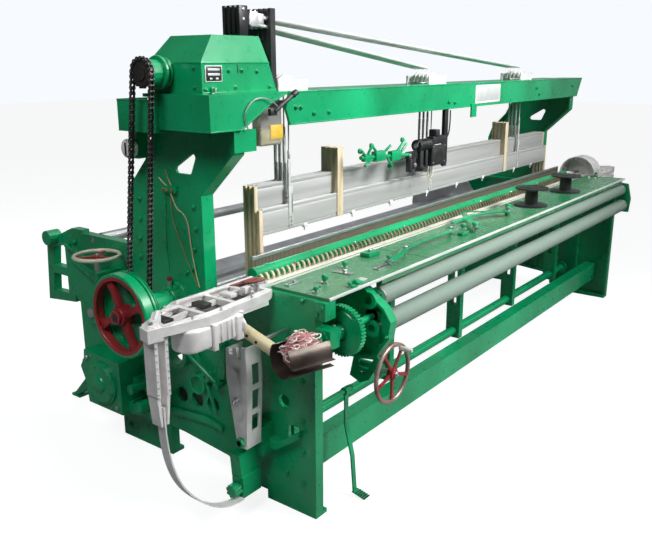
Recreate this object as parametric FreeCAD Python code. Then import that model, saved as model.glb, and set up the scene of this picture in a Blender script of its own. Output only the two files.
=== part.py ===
"""Flexible-rapier power loom, 3.5 m wide.

Working frame, in millimetres: X runs from the left side frame's outer face to the loom's right, Y from
the front of the front posts to the back, Z up from the floor. export() moves the finished loom so
that the origin is the middle of its footprint on the floor.
"""
import FreeCAD, Part
import math
import os

V = FreeCAD.Vector
X_DIR = V(1, 0, 0)
Y_DIR = V(0, 1, 0)
Z_DIR = V(0, 0, 1)

# ---- driving dimensions ----
LOOM_WIDTH = 3466.0          # over the outer faces of the two side frames
SIDE_WEB = 16.0              # web of a side frame casting
SIDE_FLANGE = 44.0           # its flanges, measured from the outer face
SIDE_RIM = 14.0              # thickness of the flange round the outline
POST_TOP = 865.0             # top of the front posts
POST_DEPTH = 242.0           # front post, front to back
SEAT_TOP = 800.0             # seat of the overhead bracket on the side frame
REAR_TOP = 925.0             # rear arm of the side frame
SIDE_DEPTH = 1440.0          # front to back of the side frame
LEG_FRONT = 800.0            # middle leg
LEG_BACK = 1130.0
REAR_BEAM_Z = 170.0          # underside of the rear cross beam
REST_BOSS_Y = SIDE_DEPTH + 105.0
BORE_SIDES = 16              # far bores, whose flats stand at the running clearance
RUN = 0.05                   # radial clearance of a shaft in its bearing
GAP = 0.5                    # clearance between pieces that pass each other

MAIN_Y = 715.0               # main shaft
MAIN_Z = 737.0
MAIN_R = 25.0
MAIN_OVERHANG = 304.0        # shaft end, left of the side frame
FLYWHEEL_R = 165.0
RING_Y = 715.0               # open bearing ring under the main shaft
RING_Z = 505.0

CHAIN_PITCH = 19.05
CHAIN_LINKS = 112
MAIN_TEETH = 20
DOBBY_TEETH = 16
CHAIN_X = -190.0             # middle plane of the chain
CHAIN_TOOTH = 10.0           # thickness of a sprocket, between the link plates
CHAIN_PLATE = 3.0
CHAIN_JOINT = 8.4            # half height of a link plate at a pin
CHAIN_WAIST = 5.2            # half height between two pins
CHAIN_ROLLER = 5.4
CHAIN_CLEAR = 50.0           # stretch beside a sprocket where its teeth fill the links
DOBBY_SHAFT_Y = 602.0        # the dobby's sprocket stands above and in front of the main shaft's

BEAM_FRONT = 356.0           # overhead beam, front face
BEAM_BOTTOM = 1425.0
BEAM_TOP = 1552.0
BEAM_WALL = 12.0
BEAM_DEPTH = 150.0
BEAM_LEFT = 286.0
BEAM_RIGHT = 3584.0
BEAM_SLANT = 84.0            # the right end leans out by this much

HEALD_FRONT = 460.0          # middle of the front heald frame
HEALD_PITCH = 24.0
HEALD_COUNT = 4
HEALD_WALL = 12.0
HEALD_LEFT = 238.0
HEALD_RAIL = 108.0           # height of a top rail
HEALD_LOW = 986.0            # underside of the lowered top rail
HEALD_LIFT = 94.0
HEALD_DROP = 346.0           # from the top rail's underside down to the frame's lowest edge
HEALD_FOOT = 60.0            # height of a bottom rail
HANGER_X = (420.0, 1590.0, 2745.0)

SLEY_Y = 345.0               # rocking shaft
SLEY_Z = 172.0
SLEY_SHAFT_R = 25.0
SLEY_LEFT = 76.0
RACE_Y = 290.0
RACE_Z = 853.0
HOOK_COUNT = 105             # guide hooks along the race
CAP_Y = 362.0
CAP_Z = 880.0
CAP_R = 24.0
REED_Y = 402.0

PLATE_FRONT = -50.0          # breast plate
PLATE_BACK = 215.0
PLATE_LEFT = 20.0
PLATE_THICK = 10.0
STIFFENER = 70.0             # its front face, from the plate's back edge

ROLLER_LEFT = 345.0
JOURNAL_R = 15.0
UPPER_Y = -33.0
UPPER_Z = 797.0
UPPER_R = 37.0
LOWER_Y = -50.0
LOWER_Z = 690.0
LOWER_R = 40.0
CHEEK_X = 330.0
CHEEK_WALL = 12.0
GEAR_Y = -30.0
GEAR_Z = 728.0
GEAR_X = 108.0
GEAR_FACE = 26.0
GEAR_TEETH = 44
GEAR_R = 97.0
GEAR_SHAFT_R = 14.0

TREADLE_Y = 24.0
TREADLE_Z = 440.0
TREADLE_PIN = 9.0
START_X = 1730.0             # post of the start lever on the breast plate
START_Y = 60.0

WHEEL_X = 337.0              # take-up handwheel, facing the weaver
WHEEL_Y = -112.0
WHEEL_Z = 506.0
WHEEL_R = 122.0
WHEEL_SHAFT_R = 13.0

LET_OFF_X = -101.0           # small flat handwheel at the back
LET_OFF_Y = 1082.0
LET_OFF_Z = 880.0
LET_OFF_R = 101.0
STEM_R = 10.0

GUIDE_Z = 842.0              # rapier guide, underside
GUIDE_THICK = 30.0

LEVER_X = -150.0             # rapier swing lever, outer face
LEVER_Y = 225.0
LEVER_Z = 316.0
LEVER_TOP = 690.0
LEVER_PIN = 11.0

BACK_REST_Y = 1250.0
BACK_REST_Z = 905.0
BACK_REST_R = 24.0
REST_PIN = 12.0
WARP_Y = 1290.0
WARP_Z = 560.0
WARP_BARREL_R = 75.0
WARP_FLANGE_R = 290.0
WARP_AXLE = 22.0

DOBBY_LEFT = -89.0
DOBBY_RIGHT = 258.0          # at the eaves; the right wall leans out below them
DOBBY_FRONT = 415.0
DOBBY_BACK = 690.0
DOBBY_BASE = 1552.0
DOBBY_EAVES = 1658.0
DOBBY_LID_RISE = 94.0
DOBBY_RIDGE = DOBBY_EAVES + DOBBY_LID_RISE
DOBBY_WALL = 6.0
DOBBY_SHAFT_R = 16.0
KNOB_Y = 846.0
KNOB_Z = 1340.0

HOLDER_SIDES = 16            # the open holder of the selvedge waste

JACK_X = 170.0
JACK_PIVOT_Z = 1600.0
JACK_TOP = 1858.0
ROD_R = 7.0
ROD_END_Z = 1630.0
ROD_PIN = 5.0
JACK_PIN = 8.0

PARTS = {}


# ---- helpers ----
def box(x0, x1, y0, y1, z0, z1):
    return Part.makeBox(x1 - x0, y1 - y0, z1 - z0, V(x0, y0, z0))


def bar_x(x0, x1, y, z, r):
    return Part.makeCylinder(r, x1 - x0, V(x0, y, z), X_DIR)


def bar_y(y0, y1, x, z, r):
    return Part.makeCylinder(r, y1 - y0, V(x, y0, z), Y_DIR)


def bar_z(z0, z1, x, y, r):
    return Part.makeCylinder(r, z1 - z0, V(x, y, z0), Z_DIR)


def bar_between(start, end, r):
    run = end.sub(start)
    return Part.makeCylinder(r, run.Length, start, run)


def wire(points, radius=0.0):
    """Closed wire through 3-D points of one plane, each corner rounded by radius where it fits."""
    count = len(points)
    if radius <= 0.0:
        return Part.makePolygon(points + [points[0]])
    starts, ends, middles = [], [], []
    for i in range(count):
        corner = points[i]
        back = points[i - 1].sub(corner)
        ahead = points[(i + 1) % count].sub(corner)
        angle = back.getAngle(ahead)
        limit = 0.45 * min(back.Length, ahead.Length)
        reach = min(radius / math.tan(angle / 2), limit)
        fitted = reach * math.tan(angle / 2)
        back.normalize()
        ahead.normalize()
        bisector = back.add(ahead).normalize()
        centre = corner.add(bisector.multiply(fitted / math.sin(angle / 2)))
        starts.append(corner.add(V(back).multiply(reach)))
        ends.append(corner.add(V(ahead).multiply(reach)))
        inward = corner.sub(centre).normalize()
        middles.append(centre.add(inward.multiply(fitted)))
    edges = []
    for i in range(count):
        edges.append(Part.Arc(starts[i], middles[i], ends[i]).toShape())
        edges.append(Part.LineSegment(ends[i], starts[(i + 1) % count]).toShape())
    return Part.Wire(edges)


def plate_x(points, x0, x1, radius=0.0):
    """Extrudes an outline of (y, z) points along X."""
    outline = wire([V(x0, y, z) for y, z in points], radius)
    return Part.Face(outline).extrude(V(x1 - x0, 0, 0))


def plate_y(points, y0, y1, radius=0.0):
    """Extrudes an outline of (x, z) points along Y."""
    outline = wire([V(x, y0, z) for x, z in points], radius)
    return Part.Face(outline).extrude(V(0, y1 - y0, 0))


def plate_z(points, z0, z1, radius=0.0):
    """Extrudes an outline of (x, y) points along Z."""
    outline = wire([V(x, y, z0) for x, y in points], radius)
    return Part.Face(outline).extrude(V(0, 0, z1 - z0))


def facet_x(x0, x1, y, z, r, sides):
    """Many-sided round along X, for a large rim in a small piece."""
    turn = 2 * math.pi / sides
    return plate_x([(y + r * math.cos(turn * i), z + r * math.sin(turn * i)) for i in range(sides)], x0, x1)


def facet_y(y0, y1, x, z, r, sides):
    turn = 2 * math.pi / sides
    return plate_y([(x + r * math.cos(turn * i), z + r * math.sin(turn * i)) for i in range(sides)], y0, y1)


def facet_z(z0, z1, x, y, r, sides):
    turn = 2 * math.pi / sides
    return plate_z([(x + r * math.cos(turn * i), y + r * math.sin(turn * i)) for i in range(sides)], z0, z1)


def bore_x(x0, x1, y, z, r, sides=BORE_SIDES):
    """Bore along X whose flats stand at the given radius."""
    return facet_x(x0, x1, y, z, r / math.cos(math.pi / sides), sides)


def bore_y(y0, y1, x, z, r, sides=BORE_SIDES):
    return facet_y(y0, y1, x, z, r / math.cos(math.pi / sides), sides)


def bore_z(z0, z1, x, y, r, sides=BORE_SIDES):
    return facet_z(z0, z1, x, y, r / math.cos(math.pi / sides), sides)


def shaft_x(x0, x1, y, z, r, end):
    """Shaft along X: round in its left bearing, many-sided from there on."""
    return join(bar_x(x0, x0 + end, y, z, r), facet_x(x0 + end, x1, y, z, r, BORE_SIDES))


def join(first, *others):
    others = [shape for shape in others if shape is not None]
    return first.multiFuse(others).removeSplitter() if others else first


def cut(shape, *tools):
    return shape.cut(list(tools))


def mirrored(shape):
    """The same piece at the loom's other side."""
    return shape.mirror(V(LOOM_WIDTH / 2, 0, 0), X_DIR)


def hex_x(x0, x1, y, z, r):
    """Six-sided bolt head along X."""
    return plate_x([(y + r * math.cos(math.radians(60 * i)), z + r * math.sin(math.radians(60 * i)))
                    for i in range(6)], x0, x1)


def hex_y(y0, y1, x, z, r):
    return plate_y([(x + r * math.cos(math.radians(60 * i)), z + r * math.sin(math.radians(60 * i)))
                    for i in range(6)], y0, y1)


def keep(name, shape):
    PARTS[name] = shape


# ---- side frames and what joins them ----
def side_frames():
    neck = facet_x(-128, -30, MAIN_Y, MAIN_Z, 46, 14)
    ring = facet_x(-26, SIDE_WEB, RING_Y, RING_Z, 66, 18)
    rest_boss = facet_x(-44, 20, REST_BOSS_Y, 880, 34, 14)
    take_up_block = box(2, 58, -66, 1, 694, 762)
    take_up_boss = facet_x(-4, 62, GEAR_Y, GEAR_Z, 31, 14)
    treadle_pin = bar_x(10, 252, TREADLE_Y, TREADLE_Z, TREADLE_PIN)
    treadle_collar = facet_x(242, 252, TREADLE_Y, TREADLE_Z, 15, 10)
    wheel_arm = box(LET_OFF_X - 26, 1, LET_OFF_Y - 30, LET_OFF_Y + 30, 780, 812)
    left = join(side_casting(), neck, ring, back_bracket(), rest_boss, take_up_block, take_up_boss,
                treadle_pin, treadle_collar, wheel_arm)
    holes = side_bores() + [facet_x(-30, 60, RING_Y, RING_Z, 46, 18),
                            bore_x(-50, 70, GEAR_Y, GEAR_Z, GEAR_SHAFT_R + RUN),
                            bore_z(770, 820, LET_OFF_X, LET_OFF_Y, STEM_R + RUN),
                            box(-30, 60, 78, 130, 300, 356),
                            facet_x(-30, 60, 148, 445, 27, 10)]
    for i in range(3):
        holes.append(facet_x(-30, 60, 530 + 92 * i, 318 - 3 * i, 34, 12))
    keep("left_side_frame", cut(left, *holes))
    cheek = plate_x([(-92, 640), (-100, 735), (-75, 838), (20, 845), (20, 640)], 0, SIDE_WEB)
    right = join(side_casting(), back_bracket(), cheek)
    journals = [bore_x(-20, 60, UPPER_Y, UPPER_Z, JOURNAL_R + RUN),
                bore_x(-20, 60, LOWER_Y, LOWER_Z, JOURNAL_R + RUN)]
    keep("right_side_frame", mirrored(cut(right, *side_bores(), *journals)))


def gantry():
    """Overhead bracket: a web with a flange round it, carrying the beam and, on the left, the dobby."""
    outline = [(BEAM_FRONT + BEAM_WALL, BEAM_TOP - BEAM_WALL), (BEAM_FRONT + BEAM_WALL, 1336), (540, 1172),
               (540, SEAT_TOP), (978, SEAT_TOP), (978, 1111), (950, 1185), (850, 1290), (806, 1375),
               (806, BEAM_TOP - BEAM_WALL)]
    points = [V(0, y, z) for y, z in outline]
    rim = Part.Face(wire(points))
    body = rim.extrude(V(62, 0, 0))
    hollow = rim.makeOffset2D(-10.0, 2).extrude(V(62, 0, 0))
    hollow.translate(V(12, 0, 0))
    head = box(0, 62, BEAM_FRONT + BEAM_WALL, 470, 1480, BEAM_TOP - BEAM_WALL)
    window = plate_x([(545, 1350), (590, 1250), (712, 1250)], -5, 70, 14)
    return cut(join(cut(body, hollow), head), window)


def gantries():
    left = join(gantry(), box(0, 115, BEAM_FRONT, BEAM_FRONT + BEAM_WALL, 1345, BEAM_BOTTOM))
    keep("left_gantry", left)
    keep("right_gantry", mirrored(gantry()))


def top_beam():
    """Pressed channel with slots in its top flange where the hangers pass."""
    face = plate_y([(BEAM_LEFT + 26, BEAM_BOTTOM), (BEAM_LEFT, 1491), (BEAM_LEFT + 28, BEAM_TOP),
                    (BEAM_RIGHT, BEAM_TOP), (BEAM_RIGHT - BEAM_SLANT, BEAM_BOTTOM)],
                   BEAM_FRONT, BEAM_FRONT + BEAM_WALL)
    top = plate_z([(0, BEAM_FRONT + BEAM_WALL), (0, BEAM_FRONT + BEAM_DEPTH),
                   (BEAM_RIGHT - 20, BEAM_FRONT + BEAM_DEPTH), (BEAM_RIGHT - 8, BEAM_FRONT),
                   (BEAM_LEFT + 28, BEAM_FRONT), (BEAM_LEFT + 28, BEAM_FRONT + BEAM_WALL)],
                  BEAM_TOP - BEAM_WALL, BEAM_TOP)
    lip = box(BEAM_LEFT + 60, LOOM_WIDTH - 62, BEAM_FRONT, BEAM_FRONT + 40, BEAM_BOTTOM, BEAM_BOTTOM + 10)
    tail = box(BEAM_LEFT + 120, BEAM_RIGHT - 140, BEAM_FRONT + BEAM_DEPTH - 10, BEAM_FRONT + BEAM_DEPTH + 90,
               BEAM_TOP - BEAM_WALL, BEAM_TOP)
    slots = []
    for x in HANGER_X:
        slots.append(box(x - 60, x + 60, HEALD_FRONT - 14, HEALD_FRONT + 92, BEAM_TOP - 30, BEAM_TOP + 5))
    stop = box(HANGER_X[1] + 240, HANGER_X[1] + 300, BEAM_FRONT - 8, BEAM_FRONT, 1370, 1440)
    return keep("top_beam", join(cut(join(face, top, lip, tail), *slots), stop))


def base_beams():
    low, high = 121.0, 240.0
    left = SIDE_FLANGE - 28
    right = LOOM_WIDTH - left
    face = box(left, right, 100, 112, low, high)
    top = box(left, right, 100, 172, high - 12, high)
    lip = box(left, right, 100, 150, low, low + 10)
    keep("front_base_beam", join(face, top, lip))
    keep("rear_cross_beam", rear_beam(left, right))


def rear_beam(left, right):
    """Angle beam between the frames' rear ends, with a sloped leg and its floor pad near each end."""
    y = SIDE_DEPTH - 98
    back = box(left, right, y - 12, y, REAR_BEAM_Z, REAR_BEAM_Z + 86)
    web = box(left, right, y - 46, y - 11, REAR_BEAM_Z + 74, REAR_BEAM_Z + 86)
    legs = []
    for x in (100.0, LOOM_WIDTH - 134.0):
        legs.append(plate_x([(y - 1, REAR_BEAM_Z), (y - 1, REAR_BEAM_Z + 84), (y + 90, REAR_BEAM_Z + 84),
                             (y + 330, 10), (y + 300, 10), (y + 60, REAR_BEAM_Z)], x, x + 34))
    legs.append(box(95, 180, y + 278, y + 344, 0, 12))
    legs.append(box(LOOM_WIDTH - 180, LOOM_WIDTH - 95, y + 278, y + 344, 0, 12))
    return join(back, web, *legs)


def breast_plate():
    """Flat table over the front rollers, with its stiffener, its slotted left end and the start lever's post."""
    high = POST_TOP + PLATE_THICK
    top = box(PLATE_LEFT, LOOM_WIDTH - PLATE_LEFT, PLATE_FRONT, PLATE_BACK, POST_TOP, high)
    nose = box(CHEEK_X + 20, LOOM_WIDTH - PLATE_LEFT - 60, PLATE_FRONT, PLATE_FRONT + 8, POST_TOP - 16, POST_TOP + 1)
    stiffener = box(SIDE_FLANGE + GAP, LOOM_WIDTH - SIDE_FLANGE - GAP, PLATE_BACK - STIFFENER, PLATE_BACK - 60,
                    POST_TOP - 90, POST_TOP + 1)
    slot = box(PLATE_LEFT + 34, PLATE_LEFT + 100, 60, 74, POST_TOP - 5, POST_TOP + 20)
    post = bar_z(high - 1, high + 26, START_X, START_Y, 17)
    keep("breast_plate", join(cut(join(top, nose), slot), stiffener, post))


# ---- main drive ----
def sprocket(x0, x1, y, z, teeth, bore):
    """Plate sprocket: its teeth stand between the chain's link plates."""
    root = pitch_radius(teeth) - CHAIN_ROLLER - 0.6
    tip = pitch_radius(teeth) + 4.5
    points = []
    for i in range(teeth):
        for share, r in ((0.0, root), (0.36, tip), (0.64, tip)):
            a = 2 * math.pi * (i + share) / teeth
            points.append((y + r * math.cos(a), z + r * math.sin(a)))
    return cut(plate_x(points, x0, x1), bar_x(x0 - 1, x1 + 1, y, z, bore))


def spoked_wheel_x(x0, x1, y, z, rim_r, rim_wall, hub_r, spokes, spoke_width, bore):
    """Wheel about X: a rim, flat spokes and a hub, with its bore."""
    rim = cut(facet_x(x0, x1, y, z, rim_r, 30), facet_x(x0 - 1, x1 + 1, y, z, rim_r - rim_wall, 30))
    hub = facet_x(x0 - 4, x1 + 3, y, z, hub_r, 12)
    arms = []
    for i in range(spokes):
        arm = box(x0 + 10, x1 - 10, y, y + rim_r - rim_wall / 2, z - spoke_width / 2, z + spoke_width / 2)
        arm.rotate(V(0, y, z), X_DIR, 360.0 / spokes * i + 25)
        arms.append(arm)
    return cut(join(rim, hub, *arms), bore_x(x0 - 10, x1 + 10, y, z, bore, 12))


def main_drive():
    shaft = bar_x(-MAIN_OVERHANG, LOOM_WIDTH + 30, MAIN_Y, MAIN_Z, MAIN_R)
    half = CHAIN_TOOTH / 2
    teeth = sprocket(CHAIN_X - half, CHAIN_X + half, MAIN_Y, MAIN_Z, MAIN_TEETH, MAIN_R - 2)
    low_hub = facet_x(CHAIN_X + half - 1, CHAIN_X + 36, MAIN_Y, MAIN_Z, 40, 12)
    keep("main_shaft", join(shaft, teeth, low_hub))
    keep("flywheel", spoked_wheel_x(-287, -243, MAIN_Y, MAIN_Z, FLYWHEEL_R, 22, 40, 4, 46, MAIN_R))
    disc = facet_x(-240, -222, MAIN_Y, MAIN_Z, FLYWHEEL_R - 5, 30)
    recess = cut(facet_x(-241, -230, MAIN_Y, MAIN_Z, FLYWHEEL_R - 24, 30), facet_x(-242, -229, MAIN_Y, MAIN_Z, 48, 12))
    keep("drive_pulley", cut(disc, recess, bore_x(-250, -210, MAIN_Y, MAIN_Z, MAIN_R, 12)))
    y, z = dobby_shaft_centre()
    high = sprocket(CHAIN_X - half, CHAIN_X + half, y, z, DOBBY_TEETH, DOBBY_SHAFT_R - 4)
    shaft = bar_x(CHAIN_X + 12, DOBBY_LEFT + 60, y, z, DOBBY_SHAFT_R)
    hub = facet_x(CHAIN_X - 10, CHAIN_X + 12, y, z, 27, 12)
    keep("dobby_sprocket", join(high, shaft, hub))


def chain_place(x, spot, offset):
    """A point beside the pitch line, at the given distance outside it."""
    place, out, _ = spot
    point = place.add(V(out).multiply(offset))
    return V(x, point.y, point.z)


def drive_chain():
    """Roller chain as one loop: two rows of waisted link plates, and rollers on the free strands."""
    gap = CHAIN_TOOTH / 2 + RUN
    places = chain_points()
    rows = []
    for x in (CHAIN_X - gap - CHAIN_PLATE, CHAIN_X + gap):
        outer = [chain_place(x, places[i], CHAIN_WAIST if i % 2 else CHAIN_JOINT) for i in range(len(places))]
        inner = [chain_place(x, places[i], -CHAIN_JOINT) for i in range(0, len(places), 2) if not places[i][2]]
        plate = Part.Face(wire(outer)).cut(Part.Face(wire(inner)))
        rows.append(plate.extrude(V(CHAIN_PLATE, 0, 0)))
    rollers = []
    for place, out, free in places:
        if free:
            across = V(0, -out.z, out.y).multiply(CHAIN_ROLLER)
            outward = V(out).multiply(CHAIN_ROLLER)
            corners = [place.add(outward).add(across), place.add(outward).sub(across), place.sub(outward)]
            rollers.append(plate_x([(p.y, p.z) for p in corners], CHAIN_X - gap, CHAIN_X + gap))
    keep("drive_chain", rows[0].multiFuse([rows[1]] + rollers))


# ---- dobby ----
def dobby():
    floor = DOBBY_BASE
    wall = DOBBY_WALL
    foot_right = DOBBY_RIGHT + 42
    shell = [(DOBBY_LEFT, floor), (foot_right, floor), (DOBBY_RIGHT, DOBBY_EAVES), (DOBBY_LEFT, DOBBY_EAVES)]
    inside = [(DOBBY_LEFT + wall, floor + wall), (foot_right - wall - 4, floor + wall),
              (DOBBY_RIGHT - wall, DOBBY_EAVES + 5), (DOBBY_LEFT + wall, DOBBY_EAVES + 5)]
    case = cut(plate_y(shell, DOBBY_FRONT, DOBBY_BACK),
               plate_y(inside, DOBBY_FRONT + wall, DOBBY_BACK - wall))
    y, z = dobby_shaft_centre()
    boss = facet_x(CHAIN_X + 18, DOBBY_LEFT, y, z, 46, 16)
    pivot = bar_y(DOBBY_FRONT + wall - 1, DOBBY_BACK - wall + 1, JACK_X, JACK_PIVOT_Z, JACK_PIN)
    case = join(case, boss, pivot)
    keep("dobby_housing", cut(case, bore_x(CHAIN_X, DOBBY_LEFT + 30, y, z, DOBBY_SHAFT_R + RUN)))
    slot = box(JACK_X - 68, JACK_X + 68, HEALD_FRONT - 14, HEALD_FRONT + 3 * HEALD_PITCH + 14,
               DOBBY_RIDGE - 20, DOBBY_RIDGE + 5)
    keep("dobby_lid", cut(hood_shell(0.0), hood_shell(5.0), slot))

    front = plate_y([(-122, BEAM_BOTTOM), (22, BEAM_BOTTOM), (205, 1524), (BEAM_LEFT, BEAM_TOP), (-122, BEAM_TOP)],
                    BEAM_FRONT - 10, BEAM_FRONT)
    end = box(-122, -116, BEAM_FRONT - 1, 612, BEAM_BOTTOM, BEAM_TOP)
    shelf = box(-122, 0, BEAM_FRONT - 1, DOBBY_BACK, DOBBY_BASE - 12, DOBBY_BASE)
    back_side = box(-140, -134, 606, 818, 1414, 1531)
    back_end = box(-140, 0, 812, 818, 1414, 1531)
    back_floor = box(-140, 0, 606, 818, 1414, 1420)
    back_rise = box(-140, 0, 606, 612, 1414, DOBBY_BASE)
    knob_post = cut(box(-58, 0, 818, 870, 1300, 1420), bore_x(-60, 1, KNOB_Y, KNOB_Z, 6 + RUN))
    keep("dobby_tray", join(front, end, shelf, back_side, back_end, back_floor, back_rise, knob_post))
    disc = facet_x(-86, -64, KNOB_Y, KNOB_Z, 37, 20)
    grip = facet_x(-93, -85, KNOB_Y, KNOB_Z, 28, 14)
    keep("selector_knob", join(disc, grip, bar_x(-65, -10, KNOB_Y, KNOB_Z, 6)))


def jack_parts():
    """For each heald frame a jack lever in the dobby, and two pull rods on one pin through the lever's top."""
    pin_z = JACK_TOP - 45
    for n in range(HEALD_COUNT):
        y = HEALD_FRONT + HEALD_PITCH * n
        lever = plate_y([(JACK_X - 22, JACK_PIVOT_Z - 22), (JACK_X + 22, JACK_PIVOT_Z - 22),
                         (JACK_X + 22, JACK_TOP), (JACK_X - 22, JACK_TOP)], y - 7, y + 7)
        pin_hole = facet_y(y - 8, y + 8, JACK_X, pin_z, ROD_PIN + 0.6, 10)
        pivot_hole = bore_y(y - 10, y + 10, JACK_X, JACK_PIVOT_Z, JACK_PIN + RUN)
        keep(f"jack_lever_{n + 1}", cut(lever, pivot_hole, pin_hole))
        pin = bar_y(y - 8, y + 9, JACK_X, pin_z, ROD_PIN)
        strap = box(JACK_X - 9, JACK_X + 40, y + 7 + GAP, y + 10 + GAP, pin_z - 9, pin_z + 9)
        head = box(JACK_X + 32, JACK_X + 44, y - 7, y + 10 + GAP, pin_z - 20, pin_z + 20)
        rods = []
        for drop, x_end in ((13.0, HANGER_X[1]), (-13.0, HANGER_X[2])):
            start = V(JACK_X + 38, y, pin_z - drop)
            rods.append(square_rod(start, V(x_end - 60, y, ROD_END_Z), ROD_R))
        keep(f"pull_rods_{n + 1}", join(pin, strap, head, *rods))


def square_rod(start, end, r):
    """Eight-sided rod in the XZ plane between two points."""
    run = end.sub(start)
    turn = math.pi / 4
    ring = [V(r * math.cos(turn * (i + 0.5)), r * math.sin(turn * (i + 0.5)), 0) for i in range(8)]
    rod = Part.Face(wire(ring)).extrude(V(0, 0, run.Length))
    rod.Placement = FreeCAD.Placement(start, FreeCAD.Rotation(Z_DIR, run))
    return rod


# ---- healds ----
def heald_frame(n):
    """Frame of two light rails, wooden end staves and wooden struts, with its three hangers."""
    y = HEALD_FRONT + HEALD_PITCH * n
    raised = 0.0 if n == 0 else HEALD_LIFT
    low = HEALD_LOW + raised
    right = LOOM_WIDTH - HEALD_LEFT
    y0, y1 = y - HEALD_WALL / 2, y + HEALD_WALL / 2
    top = box(HEALD_LEFT, right, y0, y1, low, low + HEALD_RAIL)
    bottom = box(HEALD_LEFT, right, y0, y1, low - HEALD_DROP, low - HEALD_DROP + HEALD_FOOT)
    shapes = [bottom]
    for x in (HEALD_LEFT - 14, right - 8):
        shapes.append(box(x, x + 22, y0, y1, low - HEALD_DROP, low + HEALD_RAIL - 4))
    strut_top = 1296.0
    for x in (742.0, 2520.0):
        shapes.append(box(x, x + 44, y0 - 5, y1 + 5, low + 4 if n else low, strut_top))
    for x in HANGER_X:
        shapes.append(box(x - 9, x + 9, y0 + 2, y1 - 2, low + HEALD_RAIL - 2, low + HEALD_RAIL + 190))
        shapes.append(box(x - 3, x + 3, y - 3, y + 3, low + HEALD_RAIL + 180, 1530.0 + raised - HEALD_LIFT))
    return join(top, *shapes)


def healds():
    for n in range(HEALD_COUNT):
        keep(f"heald_frame_{n + 1}", heald_frame(n))


# ---- sley ----
def sley():
    left, right = SLEY_LEFT, LOOM_WIDTH - SLEY_LEFT
    shaft = shaft_x(-6, LOOM_WIDTH + 6, SLEY_Y, SLEY_Z, SLEY_SHAFT_R, 60)
    beam = plate_x([(RACE_Y - 2, 770), (RACE_Y - 2, RACE_Z - 4), (REED_Y + 14, RACE_Z - 4),
                    (REED_Y + 14, 800), (REED_Y - 40, 770)], left, right)
    strip = box(left, right, RACE_Y - 2, RACE_Y + 26, RACE_Z - 5, RACE_Z + 2)
    swords = []
    for i in range(5):
        x = 240.0 + (LOOM_WIDTH - 480.0 - 40.0) * i / 4
        sword = plate_x([(SLEY_Y - 42, SLEY_Z - 40), (SLEY_Y + 42, SLEY_Z - 40), (SLEY_Y + 44, 772),
                         (SLEY_Y - 40, 772)], x, x + 40)
        window = box(x - 1, x + 41, SLEY_Y - 16, SLEY_Y + 18, 330, 720)
        swords.append(cut(sword, window))
    keep("sley_beam", join(beam, strip, shaft, *swords))
    keep("guide_hooks", guide_hooks(left + 4, right - 4))
    keep("reed_cap", join(bar_x(left, right, CAP_Y, CAP_Z, CAP_R),
                          box(left, right, CAP_Y - 8, CAP_Y + 8, RACE_Z - 4, CAP_Z - CAP_R + 4)))
    keep("reed", reed(left + 40, right - 40))


def guide_hooks(left, right):
    """A row of brown hooks in one strip, each leaning back at its top."""
    pitch = (right - left) / HOOK_COUNT
    y0 = RACE_Y + 26.5
    y1 = y0 + 9
    foot, top = RACE_Z - 4, RACE_Z + 32
    points = [(left, foot), (right, foot)]
    for i in range(HOOK_COUNT, 0, -1):
        x1 = left + pitch * i
        points += [(x1, top), (x1 - pitch * 0.45, top), (x1 - pitch, foot + 8)]
    return plate_y(points, y0, y1)


def reed(left, right):
    """Reed: its two ribs and end pieces round the fine dents, which are one thin wall."""
    y0, y1 = REED_Y - 6, REED_Y + 6
    z0, z1 = RACE_Z - 4, 934.0
    frame = cut(box(left, right, y0, y1, z0, z1), box(left + 16, right - 16, y0 - 1, y1 + 1, z0 + 16, z1 - 14))
    dents = box(left + 10, right - 10, REED_Y - 1.5, REED_Y + 1.5, z0 + 8, z1 - 8)
    return join(frame, dents)


# ---- rapier units ----
def rapier_guide():
    """Cast guide beside the sley: two long walls and cross bars round open slots, and its pedestal."""
    low, high = GUIDE_Z, GUIDE_Z + GUIDE_THICK
    behind = POST_DEPTH + 4
    outline = [(-548, 200), (-530, 268), (-319, 369), (40, 372), (66, 340), (66, behind), (-4, behind), (-4, 190),
               (-37, 176), (-349, 152)]
    body = plate_z(outline, low, high)
    slots = [[(-486, 216), (-462, 272), (-345, 326), (-345, 176)],
             [(-325, 176), (-325, 334), (-200, 338), (-200, 184)],
             [(-180, 186), (-180, 338), (-74, 340), (-74, 196)],
             [(-54, 200), (-54, 340), (30, 340), (30, behind + 18), (-22, behind + 18), (-22, 202)]]
    tools = [plate_z(points, low + 8, high + 1) for points in slots]
    tools += [plate_z([(-465, 225), (-445, 258), (-360, 300), (-360, 190)], low - 1, high + 1),
              plate_z([(-310, 195), (-310, 318), (-215, 322), (-215, 205)], low - 1, high + 1)]
    centre_bar = plate_z([(-500, 238), (-500, 254), (40, 316), (40, 300)], low + 6, high - 4)
    arm = plate_z([(-520, 214), (-504, 206), (-424, 300), (-440, 310)], low + 4, high + 14)
    nose = plate_z([(-566, 196), (-512, 186), (-500, 236), (-552, 250)], low - 8, high + 4)
    skirt = box(-190, -40, 176, 188, low - 16, low + 2)
    foot = box(0, 60, 300, 344, 770, low + 2)
    return join(cut(body, *tools), centre_bar, arm, nose, skirt, foot)


def rapier_housing():
    """Rounded cover of the tape wheel, hung under the guide."""
    drum = plate_z([(-442, 184), (-432, 160), (-408, 150), (-340, 150), (-340, 262), (-408, 262), (-432, 252),
                    (-442, 228)], 764, GUIDE_Z)
    flange = box(-341, -322, 144, 270, 752, GUIDE_Z)
    neck = box(-323, -228, 156, 256, 766, GUIDE_Z)
    end = box(-229, -198, 148, 262, 754, GUIDE_Z)
    window = box(-232, -190, 170, 190, 775, 820)
    return join(drum, flange, neck, cut(end, window))


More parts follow.
